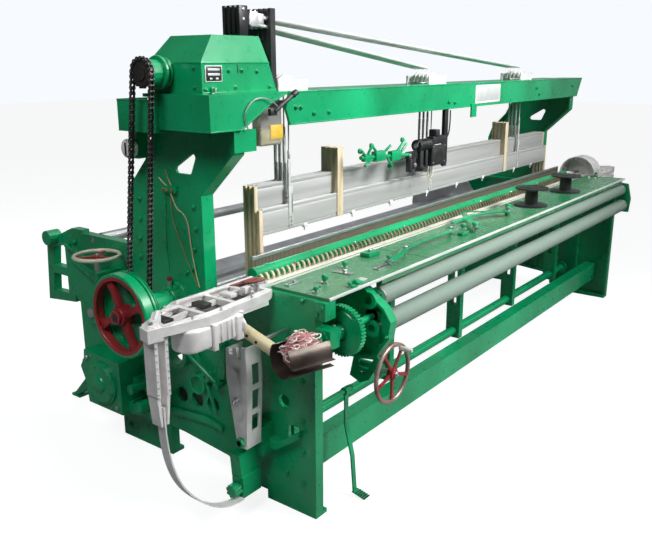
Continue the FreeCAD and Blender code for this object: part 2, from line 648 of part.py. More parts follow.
def tape_guide():
    """Riveted channel and the steel strip that takes the flexible tape down in a long curve."""
    y0, y1 = 206.0, 246.0
    channel = cut(box(-540, -486, y0 - 6, y1 + 6, 640, GUIDE_Z - 8),
                  box(-527, -499, y0 - 10, y1 - 4, 600, GUIDE_Z + 6))
    taper = plate_y([(-540, 640), (-486, 640), (-498, 540), (-530, 540)], y0 - 2, y1 + 2)
    taper = cut(taper, plate_y([(-527, 645), (-499, 645), (-505, 530), (-522, 530)], y0 - 10, y1 - 4))
    run = [(-512, 600), (-510, 500), (-496, 400), (-460, 300), (-390, 205), (-285, 122), (-170, 96)]
    line = Part.BSplineCurve()
    line.interpolate([V(x, y0, z) for x, z in run])
    path = Part.Wire([line.toShape()])
    x, z = run[0]
    section = wire([V(x - 3, y0, z), V(x + 3, y0, z), V(x + 3, y1 - 4, z), V(x - 3, y1 - 4, z)])
    strip = path.makePipeShell([section], True, False)
    return join(channel, taper, strip)


def swing_lever():
    """Light casting that swings the tape wheel: a slotted web with a windowed flank."""
    x0, x1 = LEVER_X, LEVER_X + 78
    outline = [(LEVER_Y - 22, LEVER_Z - 26), (LEVER_Y + 22, LEVER_Z - 26), (LEVER_Y + 68, 560),
               (LEVER_Y + 66, LEVER_TOP - 20), (LEVER_Y - 32, LEVER_TOP), (LEVER_Y - 38, 560)]
    block = plate_x(outline, x0, x1)
    inner = plate_x([(LEVER_Y - 14, LEVER_Z + 10), (LEVER_Y + 18, LEVER_Z + 10), (LEVER_Y + 60, 560),
                     (LEVER_Y + 58, LEVER_TOP + 60), (LEVER_Y - 24, LEVER_TOP + 60), (LEVER_Y - 30, 560)],
                    x0 + 12, x1 + 5)
    body = cut(block, inner)
    windows = []
    for z0, z1 in ((356, 422), (440, 520), (538, 620)):
        windows.append(box(x0 + 26, x1 - 12, LEVER_Y - 60, LEVER_Y - 5, z0, z1))
    slot_ring = plate_x([(LEVER_Y - 12, 420), (LEVER_Y + 5, 412), (LEVER_Y + 22, 420), (LEVER_Y + 38, 590),
                         (LEVER_Y + 21, 600), (LEVER_Y + 4, 590)], x0 - 9, x0 + 1)
    slot = plate_x([(LEVER_Y - 2, 432), (LEVER_Y + 12, 432), (LEVER_Y + 28, 578), (LEVER_Y + 14, 578)],
                   x0 - 12, x0 + 14)
    notches = [box(x0 - 5, x0 + 20, LEVER_Y - 8, LEVER_Y + 12, 640, LEVER_TOP + 10),
               box(x0 - 5, x0 + 20, LEVER_Y + 30, LEVER_Y + 50, 650, LEVER_TOP + 10)]
    hub = facet_x(x0, x1, LEVER_Y, LEVER_Z, 22, 14)
    bolt = hex_x(x0 - 16, x0 + 13, LEVER_Y + 8, 480, 13)
    body = cut(join(cut(body, *windows), slot_ring), slot, *notches)
    return cut(join(body, hub, bolt), bore_x(x0 - 20, x1 + 20, LEVER_Y, LEVER_Z, LEVER_PIN + RUN))


def lever_bracket():
    """Bearing of the swing lever, with its tie bar to the front post and the clamp of the strip."""
    pin = bar_x(LEVER_X - 8, -20, LEVER_Y, LEVER_Z, LEVER_PIN)
    head = hex_x(LEVER_X - 18, LEVER_X - GAP, LEVER_Y, LEVER_Z, 19)
    block = plate_x([(LEVER_Y - 30, 230), (LEVER_Y + 50, 230), (LEVER_Y + 54, 345), (LEVER_Y - 24, 345)],
                    LEVER_X + 80, 0)
    arm = plate_x([(LEVER_Y - 6, 170), (LEVER_Y + 46, 170), (LEVER_Y + 54, 262), (LEVER_Y + 6, 262)],
                  LEVER_X - 14, LEVER_X + 81)
    tie = plate_x([(LEVER_Y - 20, 250), (LEVER_Y - 60, 250), (60, 326), (60, 352), (LEVER_Y - 60, 280),
                   (LEVER_Y - 20, 292)], -34, 0)
    clip = box(LEVER_X - 16, LEVER_X + 80, 212, 268, 92, 176)
    return join(block, pin, head, arm, tie, clip, tape_roller())


def tape_roller():
    """Ribbed roller that holds the strip's lower end against the bracket."""
    teeth = 8
    points = []
    for i in range(teeth):
        for share, r in ((0.1, 27.0), (0.45, 27.0), (0.55, 22.0), (0.95, 22.0)):
            a = 2 * math.pi * (i + share) / teeth
            points.append((240 + r * math.cos(a), 128 + r * math.sin(a)))
    return plate_x(points, LEVER_X - 52, LEVER_X - 15)


def rapier_units():
    keep("left_rapier_guide", rapier_guide())
    keep("left_rapier_housing", rapier_housing())
    guard = cut(facet_x(-150, -8, 300, 870, 130, 18), facet_x(-142, 10, 300, 870, 124, 18),
                box(-200, 10, 100, 500, 700, GUIDE_Z + GUIDE_THICK - 4))
    keep("right_rapier_guide", mirrored(join(rapier_guide(), rapier_housing(), guard)))
    keep("tape_guide", tape_guide())
    keep("rapier_lever", swing_lever())
    keep("lever_bracket", lever_bracket())


# ---- selvedge waste ----
def waste_parts():
    start, end = V(-168, 206, 778), V(-145, 60, 712)
    tube = faceted_tube(start, end, 23, 20, 18)
    run = end.sub(start)
    holes = []
    for share in (0.28, 0.50):
        p = start.add(V(run).multiply(share))
        holes.append(hex_x(p.x - 40, p.x, p.y, p.z - 4, 5))
    stay = box(-134, 0, 112, 124, 732, 744)
    keep("suction_tube", join(cut(tube, *holes), stay))

    centre = V(-120, -36, 712)
    length, r, sheet = 168.0, 64.0, 3.0
    x0, x1 = centre.x - length / 2, centre.x + length / 2
    tube = faceted_tube(V(x0, centre.y, centre.z), V(x1, centre.y, centre.z), r, r - sheet, HOLDER_SIDES)
    mouth = box(x0 + 6, x1 + 1, centre.y - 44, centre.y + 44, centre.z, centre.z + r + 10)
    gap = box(x0 - 5, x1 + 5, centre.y - r - 5, centre.y - 30, centre.z - 34, centre.z - 12)
    lip_a = box(x0, x1, centre.y - r - 16, centre.y - 52, centre.z - 12, centre.z - 12 + sheet)
    lip_b = box(x0, x1, centre.y - r - 8, centre.y - 50, centre.z - 34 - sheet, centre.z - 34)
    holder = join(cut(tube, mouth, gap), lip_a, lip_b)
    holder.rotate(centre, Z_DIR, -16)
    stay = bar_x(centre.x + 50, 0, centre.y + 47, centre.z + 6, 7)
    keep("waste_holder", join(holder, stay))
    keep("selvedge_waste", yarn_heap(centre, r - sheet))


def yarn_heap(centre, r):
    """Heap of waste yarn on the holder's floor: a rounded front outline kept inside a rounded side outline."""
    low = centre.z - r * math.cos(math.pi / HOLDER_SIDES) + GAP
    front = plate_y([(centre.x - 74, low + 26), (centre.x - 60, low), (centre.x + 56, low), (centre.x + 72, low + 26),
                     (centre.x + 66, centre.z + 60), (centre.x + 34, centre.z + 88), (centre.x - 30, centre.z + 84),
                     (centre.x - 66, centre.z + 58)], centre.y - 60, centre.y + 60)
    side = plate_x([(centre.y - 30, low + 15), (centre.y - 8, low), (centre.y + 8, low),
                    (centre.y + 30, low + 15), (centre.y + 42, centre.z), (centre.y + 30, centre.z + 64),
                    (centre.y, centre.z + 90), (centre.y - 30, centre.z + 64), (centre.y - 42, centre.z)],
                   centre.x - 90, centre.x + 90)
    heap = front.common(side)
    heap.rotate(centre, Z_DIR, -16)
    return heap


# ---- take-up ----
def take_up():
    back = PLATE_BACK - STIFFENER - GAP
    outline = [(back, POST_TOP - GAP), (-6, POST_TOP - 30), (-95, 772), (-125, 725), (-113, 650), (-56, 566),
               (60, 548), (back, 620)]
    cheek = plate_x(outline, CHEEK_X - 34, CHEEK_X + CHEEK_WALL)
    rim = Part.Face(wire([V(CHEEK_X - 34, y, z) for y, z in outline]))
    cheek = cut(cheek, rim.makeOffset2D(-10.0, 2).extrude(V(34, 0, 0)))
    cheek = join(cheek, facet_x(CHEEK_X - 18, CHEEK_X + CHEEK_WALL, GEAR_Y, GEAR_Z, 30, 14))
    bracket = plate_x([(40, 562), (-66, 576), (-84, 560), (-30, 470), (10, 450), (60, 470)],
                      CHEEK_X - 34, CHEEK_X - 22)
    window = plate_x([(20, 550), (-50, 560), (-18, 496), (14, 490)], CHEEK_X - 40, CHEEK_X)
    sleeve = facet_y(-60, 44, WHEEL_X, WHEEL_Z, 24, 14)
    web = box(CHEEK_X - 34, WHEEL_X - 16, -20, 20, WHEEL_Z - 8, WHEEL_Z + 8)
    cheek = join(cheek, cut(bracket, window), sleeve, web)
    bores = [bore_y(-70, 70, WHEEL_X, WHEEL_Z, WHEEL_SHAFT_R + RUN),
             bore_x(280, 380, GEAR_Y, GEAR_Z, GEAR_SHAFT_R + RUN)]
    for y, z in ((UPPER_Y, UPPER_Z), (LOWER_Y, LOWER_Z)):
        bores.append(bore_x(280, 380, y, z, JOURNAL_R + RUN))
    keep("take_up_cheek", cut(cheek, *bores))

    for name, y, z, r in (("upper_roller", UPPER_Y, UPPER_Z, UPPER_R), ("lower_roller", LOWER_Y, LOWER_Z, LOWER_R)):
        barrel = bar_x(ROLLER_LEFT, LOOM_WIDTH - SIDE_FLANGE - 1, y, z, r)
        near = facet_x(CHEEK_X - 14, ROLLER_LEFT + 1, y, z, JOURNAL_R, BORE_SIDES)
        far = facet_x(LOOM_WIDTH - SIDE_FLANGE - 2, LOOM_WIDTH - 2, y, z, JOURNAL_R, BORE_SIDES)
        keep(name, join(barrel, near, far))
    keep("take_up_gear", take_up_gear())
    keep("take_up_handwheel", take_up_handwheel())


def take_up_gear():
    """Spur gear with a dished face, on the shaft that runs from the side frame to the cheek."""
    points = []
    for i in range(GEAR_TEETH):
        for share, r in ((0.0, GEAR_R - 7), (0.34, GEAR_R), (0.62, GEAR_R)):
            a = 2 * math.pi * (i + share) / GEAR_TEETH
            points.append((GEAR_Y + r * math.cos(a), GEAR_Z + r * math.sin(a)))
    gear = plate_x(points, GEAR_X, GEAR_X + GEAR_FACE)
    dish = cut(facet_x(GEAR_X - 1, GEAR_X + 8, GEAR_Y, GEAR_Z, 78, 20),
               facet_x(GEAR_X - 2, GEAR_X + 9, GEAR_Y, GEAR_Z, 34, 12))
    hub = facet_x(64, GEAR_X + 1, GEAR_Y, GEAR_Z, 28, 12)
    near = bar_x(-24, 64, GEAR_Y, GEAR_Z, GEAR_SHAFT_R)
    shaft = facet_x(64, CHEEK_X + CHEEK_WALL - 2, GEAR_Y, GEAR_Z, GEAR_SHAFT_R, BORE_SIDES)
    return join(cut(gear, dish), hub, near, shaft)


def take_up_handwheel():
    """Hand wheel facing the weaver: flat rim, five arms, hub, crank handle and its shaft."""
    rim = cut(facet_y(WHEEL_Y - 7, WHEEL_Y + 7, WHEEL_X, WHEEL_Z, WHEEL_R, 24),
              facet_y(WHEEL_Y - 8, WHEEL_Y + 8, WHEEL_X, WHEEL_Z, WHEEL_R - 15, 24))
    arms = []
    for i in range(5):
        arm = box(WHEEL_X, WHEEL_X + WHEEL_R - 10, WHEEL_Y - 3, WHEEL_Y + 3, WHEEL_Z - 10, WHEEL_Z + 10)
        arm.rotate(V(WHEEL_X, WHEEL_Y, WHEEL_Z), Y_DIR, 72 * i + 20)
        arms.append(arm)
    hub = facet_y(WHEEL_Y - 14, WHEEL_Y + 16, WHEEL_X, WHEEL_Z, 22, 12)
    shaft = bar_y(WHEEL_Y + 16, 46, WHEEL_X, WHEEL_Z, WHEEL_SHAFT_R)
    a = math.radians(62)
    gx, gz = WHEEL_X + (WHEEL_R - 20) * math.cos(a), WHEEL_Z + (WHEEL_R - 20) * math.sin(a)
    handle = facet_y(WHEEL_Y - 58, WHEEL_Y + 2, gx, gz, 8, 8)
    return join(rim, *arms, hub, shaft, handle)


# ---- back of the loom ----
def back_parts():
    tube = facet_x(SIDE_FLANGE + 2, LOOM_WIDTH - SIDE_FLANGE - 2, BACK_REST_Y, BACK_REST_Z, BACK_REST_R, 20)
    pins = shaft_x(2, LOOM_WIDTH - 2, BACK_REST_Y, BACK_REST_Z, REST_PIN, SIDE_FLANGE + 4)
    keep("back_rest_roller", join(tube, pins))
    left, right = SIDE_FLANGE + 40, LOOM_WIDTH - SIDE_FLANGE - 40
    barrel = facet_x(left, right, WARP_Y, WARP_Z, WARP_BARREL_R, 20)
    flanges = [facet_x(x, x + 12, WARP_Y, WARP_Z, WARP_FLANGE_R, 28) for x in (left + 60, right - 72)]
    axle = shaft_x(-20, LOOM_WIDTH + 20, WARP_Y, WARP_Z, WARP_AXLE, SIDE_FLANGE + 70)
    keep("warp_beam", join(barrel, axle, *flanges))

    box_x0 = -128.0
    case = plate_x([(960, 190), (1196, 190), (1216, 354), (1203, 440), (960, 430)], box_x0, 0)
    cover = facet_x(box_x0 - 10, box_x0 + 1, 1085, 310, 98, 24)
    stub_a = facet_x(-120, 0, 905, 322, 22, 14)
    stub_b = facet_x(-132, 0, 840, 262, 26, 14)
    shelf = plate_x([(815, 196), (962, 196), (962, 240), (815, 236)], -92, 0)
    arm = box(-60, 0, 880, 962, 300, 344)
    keep("let_off_gearbox", join(case, cover, stub_a, stub_b, shelf, arm))
    rim = cut(facet_z(LET_OFF_Z - 6, LET_OFF_Z + 6, LET_OFF_X, LET_OFF_Y, LET_OFF_R, 24),
              facet_z(LET_OFF_Z - 7, LET_OFF_Z + 7, LET_OFF_X, LET_OFF_Y, LET_OFF_R - 13, 24))
    arms = []
    for i in range(3):
        arm = box(LET_OFF_X, LET_OFF_X + LET_OFF_R - 8, LET_OFF_Y - 11, LET_OFF_Y + 11, LET_OFF_Z - 6, LET_OFF_Z)
        arm.rotate(V(LET_OFF_X, LET_OFF_Y, LET_OFF_Z), Z_DIR, 120 * i + 35)
        arms.append(arm)
    hub = facet_z(LET_OFF_Z - 22, LET_OFF_Z + 2, LET_OFF_X, LET_OFF_Y, 22, 12)
    collar = facet_z(812, LET_OFF_Z - 22, LET_OFF_X, LET_OFF_Y, 14, 10)
    stem = bar_z(786, 812, LET_OFF_X, LET_OFF_Y, STEM_R)
    keep("let_off_handwheel", join(rim, *arms, hub, stem, collar))


# ---- small pieces ----
def small_parts():
    y, z = TREADLE_Y, TREADLE_Z
    bar = plate_x([(y - 3, z), (y + 3, z), (y + 3, 300), (-4, 170), (-16, 20), (-22, 20), (-10, 170), (y - 3, 300)],
                  212, 234)
    toe = plate_x([(-24, 24), (-14, 20), (-76, 6), (-80, 10)], 206, 240)
    hub = facet_x(206, 240, y, z, 16, 14)
    keep("treadle", cut(join(bar, toe, hub), bore_x(200, 250, y, z, TREADLE_PIN + RUN)))

    glass = box(158, 286, 372, 424, 1352, 1498)
    lid = box(150, 294, 370, 430, 1498, 1524)
    hook = box(186, 256, 392, 404, 1524, BEAM_TOP - BEAM_WALL)
    keep("oil_bottle", join(glass, lid, hook))

    unit_y = HEALD_FRONT - 60
    bar = box(HANGER_X[1] - 16, HANGER_X[1] + 16, unit_y - 30, unit_y - 14, 1130, BEAM_BOTTOM)
    arm = box(1210, 1610, unit_y - 26, unit_y - 14, 1206, 1236)
    motor = facet_x(1290, 1400, unit_y - 34, 1262, 28, 14)
    block = plate_y([(1400, 1150), (1520, 1150), (1540, 1240), (1400, 1260)], unit_y - 56, unit_y - 14)
    keep("weft_detector", join(bar, arm, motor, block))

    table = POST_TOP + PLATE_THICK
    spools = []
    for x, y in ((2085.0, 78.0), (2665.0, 92.0)):
        spools.append(join(facet_z(table, table + 8, x, y, 92, 18), facet_z(table + 7, table + 96, x, y, 36, 10),
                           facet_z(table + 95, table + 103, x, y, 92, 18)))
    keep("weft_spools", spools[0].fuse(spools[1]))

    x = START_X
    lever = plate_z([(x - 16, START_Y - 14), (x + 16, START_Y - 14), (x + 10, START_Y + 14), (x - 260, 158),
                     (x - 470, 150), (x - 470, 132), (x - 262, 138)], table + 27, table + 35)
    keep("start_lever", join(lever, facet_z(table + 34, table + 60, x, START_Y, 15, 12)))


def quadrants():
    """At each hanger four quadrant pulleys, on the pin and rails that carry them."""
    for place, x in enumerate(HANGER_X):
        wheels = []
        for n in range(HEALD_COUNT):
            y = HEALD_FRONT + HEALD_PITCH * n
            wheels.append(plate_y([(x - 74, BEAM_TOP + 8), (x - 66, BEAM_TOP + 42), (x - 30, BEAM_TOP + 60),
                                   (x + 20, BEAM_TOP + 52), (x + 60, BEAM_TOP + 8)], y - 5, y + 5))
        wheels.append(box(x - 7, x + 7, HEALD_FRONT - 30, HEALD_FRONT + 106, BEAM_TOP + 16, BEAM_TOP + 30))
        for y in (HEALD_FRONT - 30, HEALD_FRONT + 98):
            wheels.append(box(x - 90, x + 90, y, y + 8, BEAM_TOP, BEAM_TOP + 40))
        keep("quadrant_set_" + str(place + 1), wheels[0].multiFuse(wheels[1:]))


def rod_comb():
    """Slotted guide that keeps the pull rods apart beside the dobby."""
    x0, x1 = HANGER_X[0] - 120, HANGER_X[0] - 92
    body = box(x0, x1, HEALD_FRONT - 22, HEALD_FRONT + 94, BEAM_TOP, JACK_TOP - 3)
    slots = []
    for n in range(HEALD_COUNT):
        y = HEALD_FRONT + HEALD_PITCH * n
        slots.append(box(x0 - 1, x1 + 1, y - 8.5, y + 8.5, JACK_TOP - 118, JACK_TOP + 2))
    keep("rod_comb", cut(body, *slots))


def side_casting():
    """A web with a flange round its outline, feet, an arch, and the openings and bosses of both frames."""
    rear = SIDE_DEPTH - 54
    outline = [(0, 0), (POST_DEPTH, 0), (POST_DEPTH, 38), (421, 38), (421, 97), (455, 114), (717, 139),
               (LEG_FRONT, 139), (LEG_FRONT, 0), (LEG_BACK, 0), (LEG_BACK, 96), (rear - 14, 96), (rear - 14, 120),
               (SIDE_DEPTH - 4, 258), (rear, 340), (rear, 589), (SIDE_DEPTH, 640), (SIDE_DEPTH, REAR_TOP),
               (985, REAR_TOP), (985, SEAT_TOP), (540, SEAT_TOP), (500, 770), (300, 770), (POST_DEPTH, SEAT_TOP),
               (POST_DEPTH, POST_TOP), (0, POST_TOP)]
    rim = Part.Face(wire([V(0, y, z) for y, z in outline]))
    body = rim.extrude(V(SIDE_FLANGE, 0, 0))
    hollow = rim.makeOffset2D(-SIDE_RIM, 2).extrude(V(SIDE_FLANGE, 0, 0))
    hollow.translate(V(SIDE_WEB, 0, 0))
    body = cut(body, hollow)
    post_rib = box(SIDE_WEB - 1, SIDE_FLANGE, POST_DEPTH - SIDE_RIM, POST_DEPTH, 20, 790)
    column_rib = box(SIDE_WEB - 1, SIDE_FLANGE - 6, 540, 552, 150, 790)
    front_foot = box(0, 66, 0, POST_DEPTH, 0, 16)
    rear_foot = box(0, 66, LEG_FRONT, LEG_BACK, 0, 16)
    main_boss = facet_x(-36, SIDE_FLANGE + 4, MAIN_Y, MAIN_Z, 58, 14)
    sley_boss = facet_x(-8, SIDE_FLANGE, SLEY_Y, SLEY_Z, 48, 12)
    warp_boss = facet_x(0, SIDE_FLANGE + 10, WARP_Y, WARP_Z, 60, 12)
    body = join(body, post_rib, column_rib, front_foot, rear_foot, main_boss, sley_boss, warp_boss)
    return cut(body, plate_x([(960, 180), (1120, 180), (1120, 400), (960, 400)], -30, 60))


def side_bores():
    """Running bores of the shafts that pass through both side frames."""
    return [bore_x(-200, 100, MAIN_Y, MAIN_Z, MAIN_R + RUN),
            bore_x(-30, 60, SLEY_Y, SLEY_Z, SLEY_SHAFT_R + RUN),
            bore_x(-30, 80, WARP_Y, WARP_Z, WARP_AXLE + RUN),
            bore_x(-30, 60, BACK_REST_Y, BACK_REST_Z, REST_PIN + RUN)]


def back_bracket():
    """Casting behind a side frame that carries the back rest's outer bearing."""
    root = SIDE_DEPTH - 20
    tip = SIDE_DEPTH + 200
    arm = plate_x([(root, 583), (tip, 560), (tip - 28, 850), (tip - 140, 898), (SIDE_DEPTH - 39, REAR_TOP + 14),
                   (SIDE_DEPTH - 114, REAR_TOP + 14), (SIDE_DEPTH - 114, REAR_TOP - 1), (root, REAR_TOP - 1)], 0, 40)
    windows = [plate_x([(root + 50, 618), (tip - 50, 612), (tip - 60, 700), (root + 50, 700)], -5, 60),
               plate_x([(root + 50, 740), (tip - 65, 740), (tip - 80, 830), (root + 50, 850)], -5, 60)]
    return cut(arm, *windows)


def pitch_radius(teeth):
    return CHAIN_PITCH / (2 * math.sin(math.pi / teeth))


def dobby_shaft_centre():
    """Centre of the upper sprocket: the chain's whole number of links sets its distance from the main shaft."""
    low, high = pitch_radius(MAIN_TEETH), pitch_radius(DOBBY_TEETH)
    distance = 880.0
    for _ in range(8):
        slope = math.asin((low - high) / distance)
        wraps = high * (math.pi - 2 * slope) + low * (math.pi + 2 * slope)
        distance = (CHAIN_LINKS * CHAIN_PITCH - wraps) / (2 * math.cos(slope))
    across = DOBBY_SHAFT_Y - MAIN_Y
    return DOBBY_SHAFT_Y, MAIN_Z + math.sqrt(distance * distance - across * across)


def chain_points():
    """Every half pitch along the chain's pitch line: its (y, z), its outward direction, and whether it is free."""
    y1, z1 = dobby_shaft_centre()
    low_r, high_r = pitch_radius(MAIN_TEETH), pitch_radius(DOBBY_TEETH)
    low, high = V(0, MAIN_Y, MAIN_Z), V(0, y1, z1)
    distance = high.sub(low).Length
    up = high.sub(low).normalize()
    ahead = V(0, -up.z, up.y)
    slope = math.asin((low_r - high_r) / distance)
    straight = distance * math.cos(slope)
    top = high_r * (math.pi - 2 * slope)
    places = []
    for i in range(2 * CHAIN_LINKS):
        run = i * CHAIN_PITCH / 2
        if run < straight:
            angle, centre, r, on = slope, low, low_r, run
        elif run < straight + top:
            angle, centre, r, on = slope + (run - straight) / high_r, high, high_r, 0.0
        elif run < 2 * straight + top:
            angle, centre, r, on = math.pi - slope, high, high_r, straight + top - run
        else:
            angle, centre, r, on = math.pi - slope + (run - 2 * straight - top) / low_r, low, low_r, 0.0
        out = V(ahead).multiply(math.cos(angle)).add(V(up).multiply(math.sin(angle)))
        along = V(up).multiply(math.cos(slope)).sub(V(ahead).multiply(math.sin(slope)))
        if on < 0:
            along = V(up).multiply(math.cos(slope)).add(V(ahead).multiply(math.sin(slope)))
        place = centre.add(V(out).multiply(r)).add(V(along).multiply(on))
        reach = abs(on)
        free = i % 4 == 0 and CHAIN_CLEAR < reach < straight - CHAIN_CLEAR
        places.append((place, out, free))
    return places


def hood_shell(inset):
    """Lid's form: its front outline drawn through, kept only inside its side outline."""
    low = DOBBY_EAVES
    high = DOBBY_RIDGE - inset
    front = plate_y([(DOBBY_LEFT + inset, low), (DOBBY_RIGHT - inset, low), (DOBBY_RIGHT - 20 - inset, high),
                     (DOBBY_LEFT + 84 + inset, high)], DOBBY_FRONT - 1, DOBBY_BACK + 1)
    side = plate_x([(DOBBY_FRONT + inset, low), (DOBBY_BACK - inset, low), (DOBBY_BACK - 36 - inset, high),
                    (DOBBY_FRONT + 28 + inset, high)], DOBBY_LEFT - 1, DOBBY_RIGHT + 1)
    return front.common(side)


def faceted_tube(start, end, outer, inner, sides):
    """Open tube of flat sides between two points."""
    run = end.sub(start)
    turn = 2 * math.pi / sides
    walls = []
    for r in (outer, inner):
        ring = [V(r * math.cos(turn * i), r * math.sin(turn * i), 0) for i in range(sides)]
        walls.append(Part.Face(wire(ring)).extrude(V(0, 0, run.Length)))
    tube = walls[0].cut(walls[1])
    tube.Placement = FreeCAD.Placement(start, FreeCAD.Rotation(Z_DIR, run))
    return tube


def export():
    low = V(1e9, 1e9, 1e9)
    high = V(-1e9, -1e9, -1e9)
    for shape in PARTS.values():
        bounds = shape.optimalBoundingBox(False, False)
        low = V(min(low.x, bounds.XMin), min(low.y, bounds.YMin), min(low.z, bounds.ZMin))
        high = V(max(high.x, bounds.XMax), max(high.y, bounds.YMax), max(high.z, bounds.ZMax))
    shift = V(-(low.x + high.x) / 2, -(low.y + high.y) / 2, -low.z)
    os.makedirs("parts", exist_ok=True)
    for name, shape in PARTS.items():
        moved = shape.copy()
        moved.translate(shift)
        moved.exportStep(f"parts/{name}.step")
    print("shift", shift, "size", high.sub(low), "nodes", len(PARTS))


side_frames()
gantries()
top_beam()
base_beams()
breast_plate()
main_drive()
drive_chain()
dobby()
jack_parts()
rod_comb()
quadrants()
healds()
sley()
rapier_units()
waste_parts()
take_up()
back_parts()
small_parts()
export()
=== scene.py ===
# %% [markdown]
# # A rapier power loom, dressed
# The CAD model fixes every size and every place. This script gives the loom its looks: painted castings, bright
# steel, wood and cloth, and the small fittings that are too fine for the CAD model.

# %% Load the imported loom
import math
import bpy
import random
from mathutils import Matrix, Vector


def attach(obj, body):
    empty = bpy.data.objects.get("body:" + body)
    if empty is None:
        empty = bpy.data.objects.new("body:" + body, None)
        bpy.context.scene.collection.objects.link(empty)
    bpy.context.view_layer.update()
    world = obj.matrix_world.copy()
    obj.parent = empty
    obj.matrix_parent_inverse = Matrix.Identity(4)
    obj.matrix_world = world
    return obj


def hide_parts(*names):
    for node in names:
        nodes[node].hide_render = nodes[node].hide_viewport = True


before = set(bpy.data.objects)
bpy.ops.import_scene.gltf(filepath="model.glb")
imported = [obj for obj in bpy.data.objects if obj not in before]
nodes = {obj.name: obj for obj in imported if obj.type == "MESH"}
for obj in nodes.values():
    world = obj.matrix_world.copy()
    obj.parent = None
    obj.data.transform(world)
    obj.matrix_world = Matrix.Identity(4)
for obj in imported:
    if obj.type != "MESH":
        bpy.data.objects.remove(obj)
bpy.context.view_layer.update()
SHIFT = Vector((-1.733, -0.758, 0.0))     # from the loom's working coordinates to the middle of its footprint


def at(x, y, z):
    """A place given in working millimetres, in metres in the model's frame."""
    return Vector((x, y, z)) / 1000.0 + SHIFT


# %% [markdown]
# ## The camera
# The photograph was taken from the front left corner, at the eye height of a person who stands a few steps away.
# The camera stands there too, with the same angle of view, so that a render can be laid over the photograph.

# %% Camera at the photograph's viewing angle
yaw, pitch, roll = math.radians(52.62), math.radians(15.53), math.radians(-0.21)
forward = Vector((math.sin(yaw) * math.cos(pitch), math.cos(yaw) * math.cos(pitch), -math.sin(pitch)))
camera_data = bpy.data.cameras.new("photo_camera")
camera_data.lens = 40.64
camera_data.sensor_width = 36.0
camera = bpy.data.objects.new("photo_camera", camera_data)
bpy.context.scene.collection.objects.link(camera)
facing = forward.to_track_quat("-Z", "Y").to_matrix().to_4x4()
camera_place = at(-1896, -1499, 1650)
camera.matrix_world = Matrix.Translation(camera_place) @ facing @ Matrix.Rotation(roll, 4, "Z")
bpy.context.scene.camera = camera
print("camera", camera.matrix_world.translation)

# %% [markdown]
# ## Light and floor
# The mill's windows stood on the weaver's side, so the fronts of the castings are bright and the dobby end is in
# shade. One large lamp stands in front of the loom and a little to its right, and two weak ones open the shadows.
# A white floor and a white backdrop for the camera's own rays give the cut-out look of a catalogue picture. For
# every other ray the room is bright on the right, where its windows are, and dark behind the dobby end. The nodes
# of floor, room and finishes are set out by the same few helpers.

# %% Helpers for looks and their nodes
def new_node(tree, kind, values=None):
    """A shader node of a kind, with some of its inputs set by name or number."""
    fresh = tree.nodes.new("ShaderNode" + kind)
    for socket, value in (values or {}).items():
        fresh.inputs[socket].default_value = value
    return fresh


def wire(source, output, target, socket):
    """Joins an output of one node to an input of another in the same tree."""
    source.id_data.links.new(source.outputs[output], target.inputs[socket])


def main_shader(look):
    return look.node_tree.nodes["Principled BSDF"]


def tuned(look, values):
    """Sets some inputs of a look's main shader."""
    for socket, value in values.items():
        main_shader(look).inputs[socket].default_value = value


def new_look(name, values):
    look = bpy.data.materials.new(name)
    look.use_nodes = True
    tuned(look, values)
    return look


def deselect():
    bpy.ops.object.select_all(action="DESELECT")


# %% Floor
bpy.context.scene.view_settings.view_transform = "Standard"
deselect()
bpy.ops.mesh.primitive_plane_add(size=60, location=(0, 0, -0.001))
floor = bpy.context.object
floor.name = "floor"
floor_look = new_look("pale_floor", {"Base Color": (0.34, 0.35, 0.36, 1), "Roughness": 0.9,
                                     "Emission Color": (1, 1, 1, 1)})
ray = new_node(floor_look.node_tree, "LightPath")
glow = new_node(floor_look.node_tree, "Math", {1: 0.86})
glow.operation = "MULTIPLY"
wire(ray, "Is Camera Ray", glow, 0)
wire(glow, "Value", main_shader(floor_look), "Emission Strength")
floor.data.materials.append(floor_look)
print("floor", floor.dimensions)

# %% Backdrop and room
world = bpy.data.worlds.new("studio")
bpy.context.scene.world = world
world.use_nodes = True
sky = world.node_tree
back = sky.nodes["Background"]
back.inputs["Color"].default_value = (0.93, 0.96, 1.0, 1)
toward = new_node(sky, "TexCoord")
parts = new_node(sky, "SeparateXYZ")
room = new_node(sky, "MapRange", {"From Min": -0.5, "From Max": 0.8, "To Min": 0.035, "To Max": 0.36})
room.interpolation_type = "SMOOTHSTEP"
seen = new_node(sky, "LightPath")
either = new_node(sky, "Math")
either.operation = "MAXIMUM"
level = new_node(sky, "Mix", {"B": 1.0})
wire(toward, "Generated", parts, "Vector")
wire(parts, "X", room, "Value")
wire(seen, "Is Camera Ray", either, 0)
wire(seen, "Is Transmission Ray", either, 1)
wire(either, "Value", level, "Factor")
wire(room, "Result", level, "A")
wire(level, "Result", back, "Strength")
print("room", len(sky.nodes), "nodes")


# %% Lamps
def lamp(name, place, aim, size, power, spread=180):
    """A round lamp that faces its aim; a narrow spread keeps its light off the floor beyond."""
    data = bpy.data.lights.new(name, "AREA")
    data.shape = "DISK"
    data.size = size
    data.energy = power
    data.spread = math.radians(spread)
    thing = bpy.data.objects.new(name, data)
    bpy.context.scene.collection.objects.link(thing)
    thing.location = place
    thing.rotation_euler = (Vector(aim) - Vector(place)).to_track_quat("-Z", "Y").to_euler()
    return thing


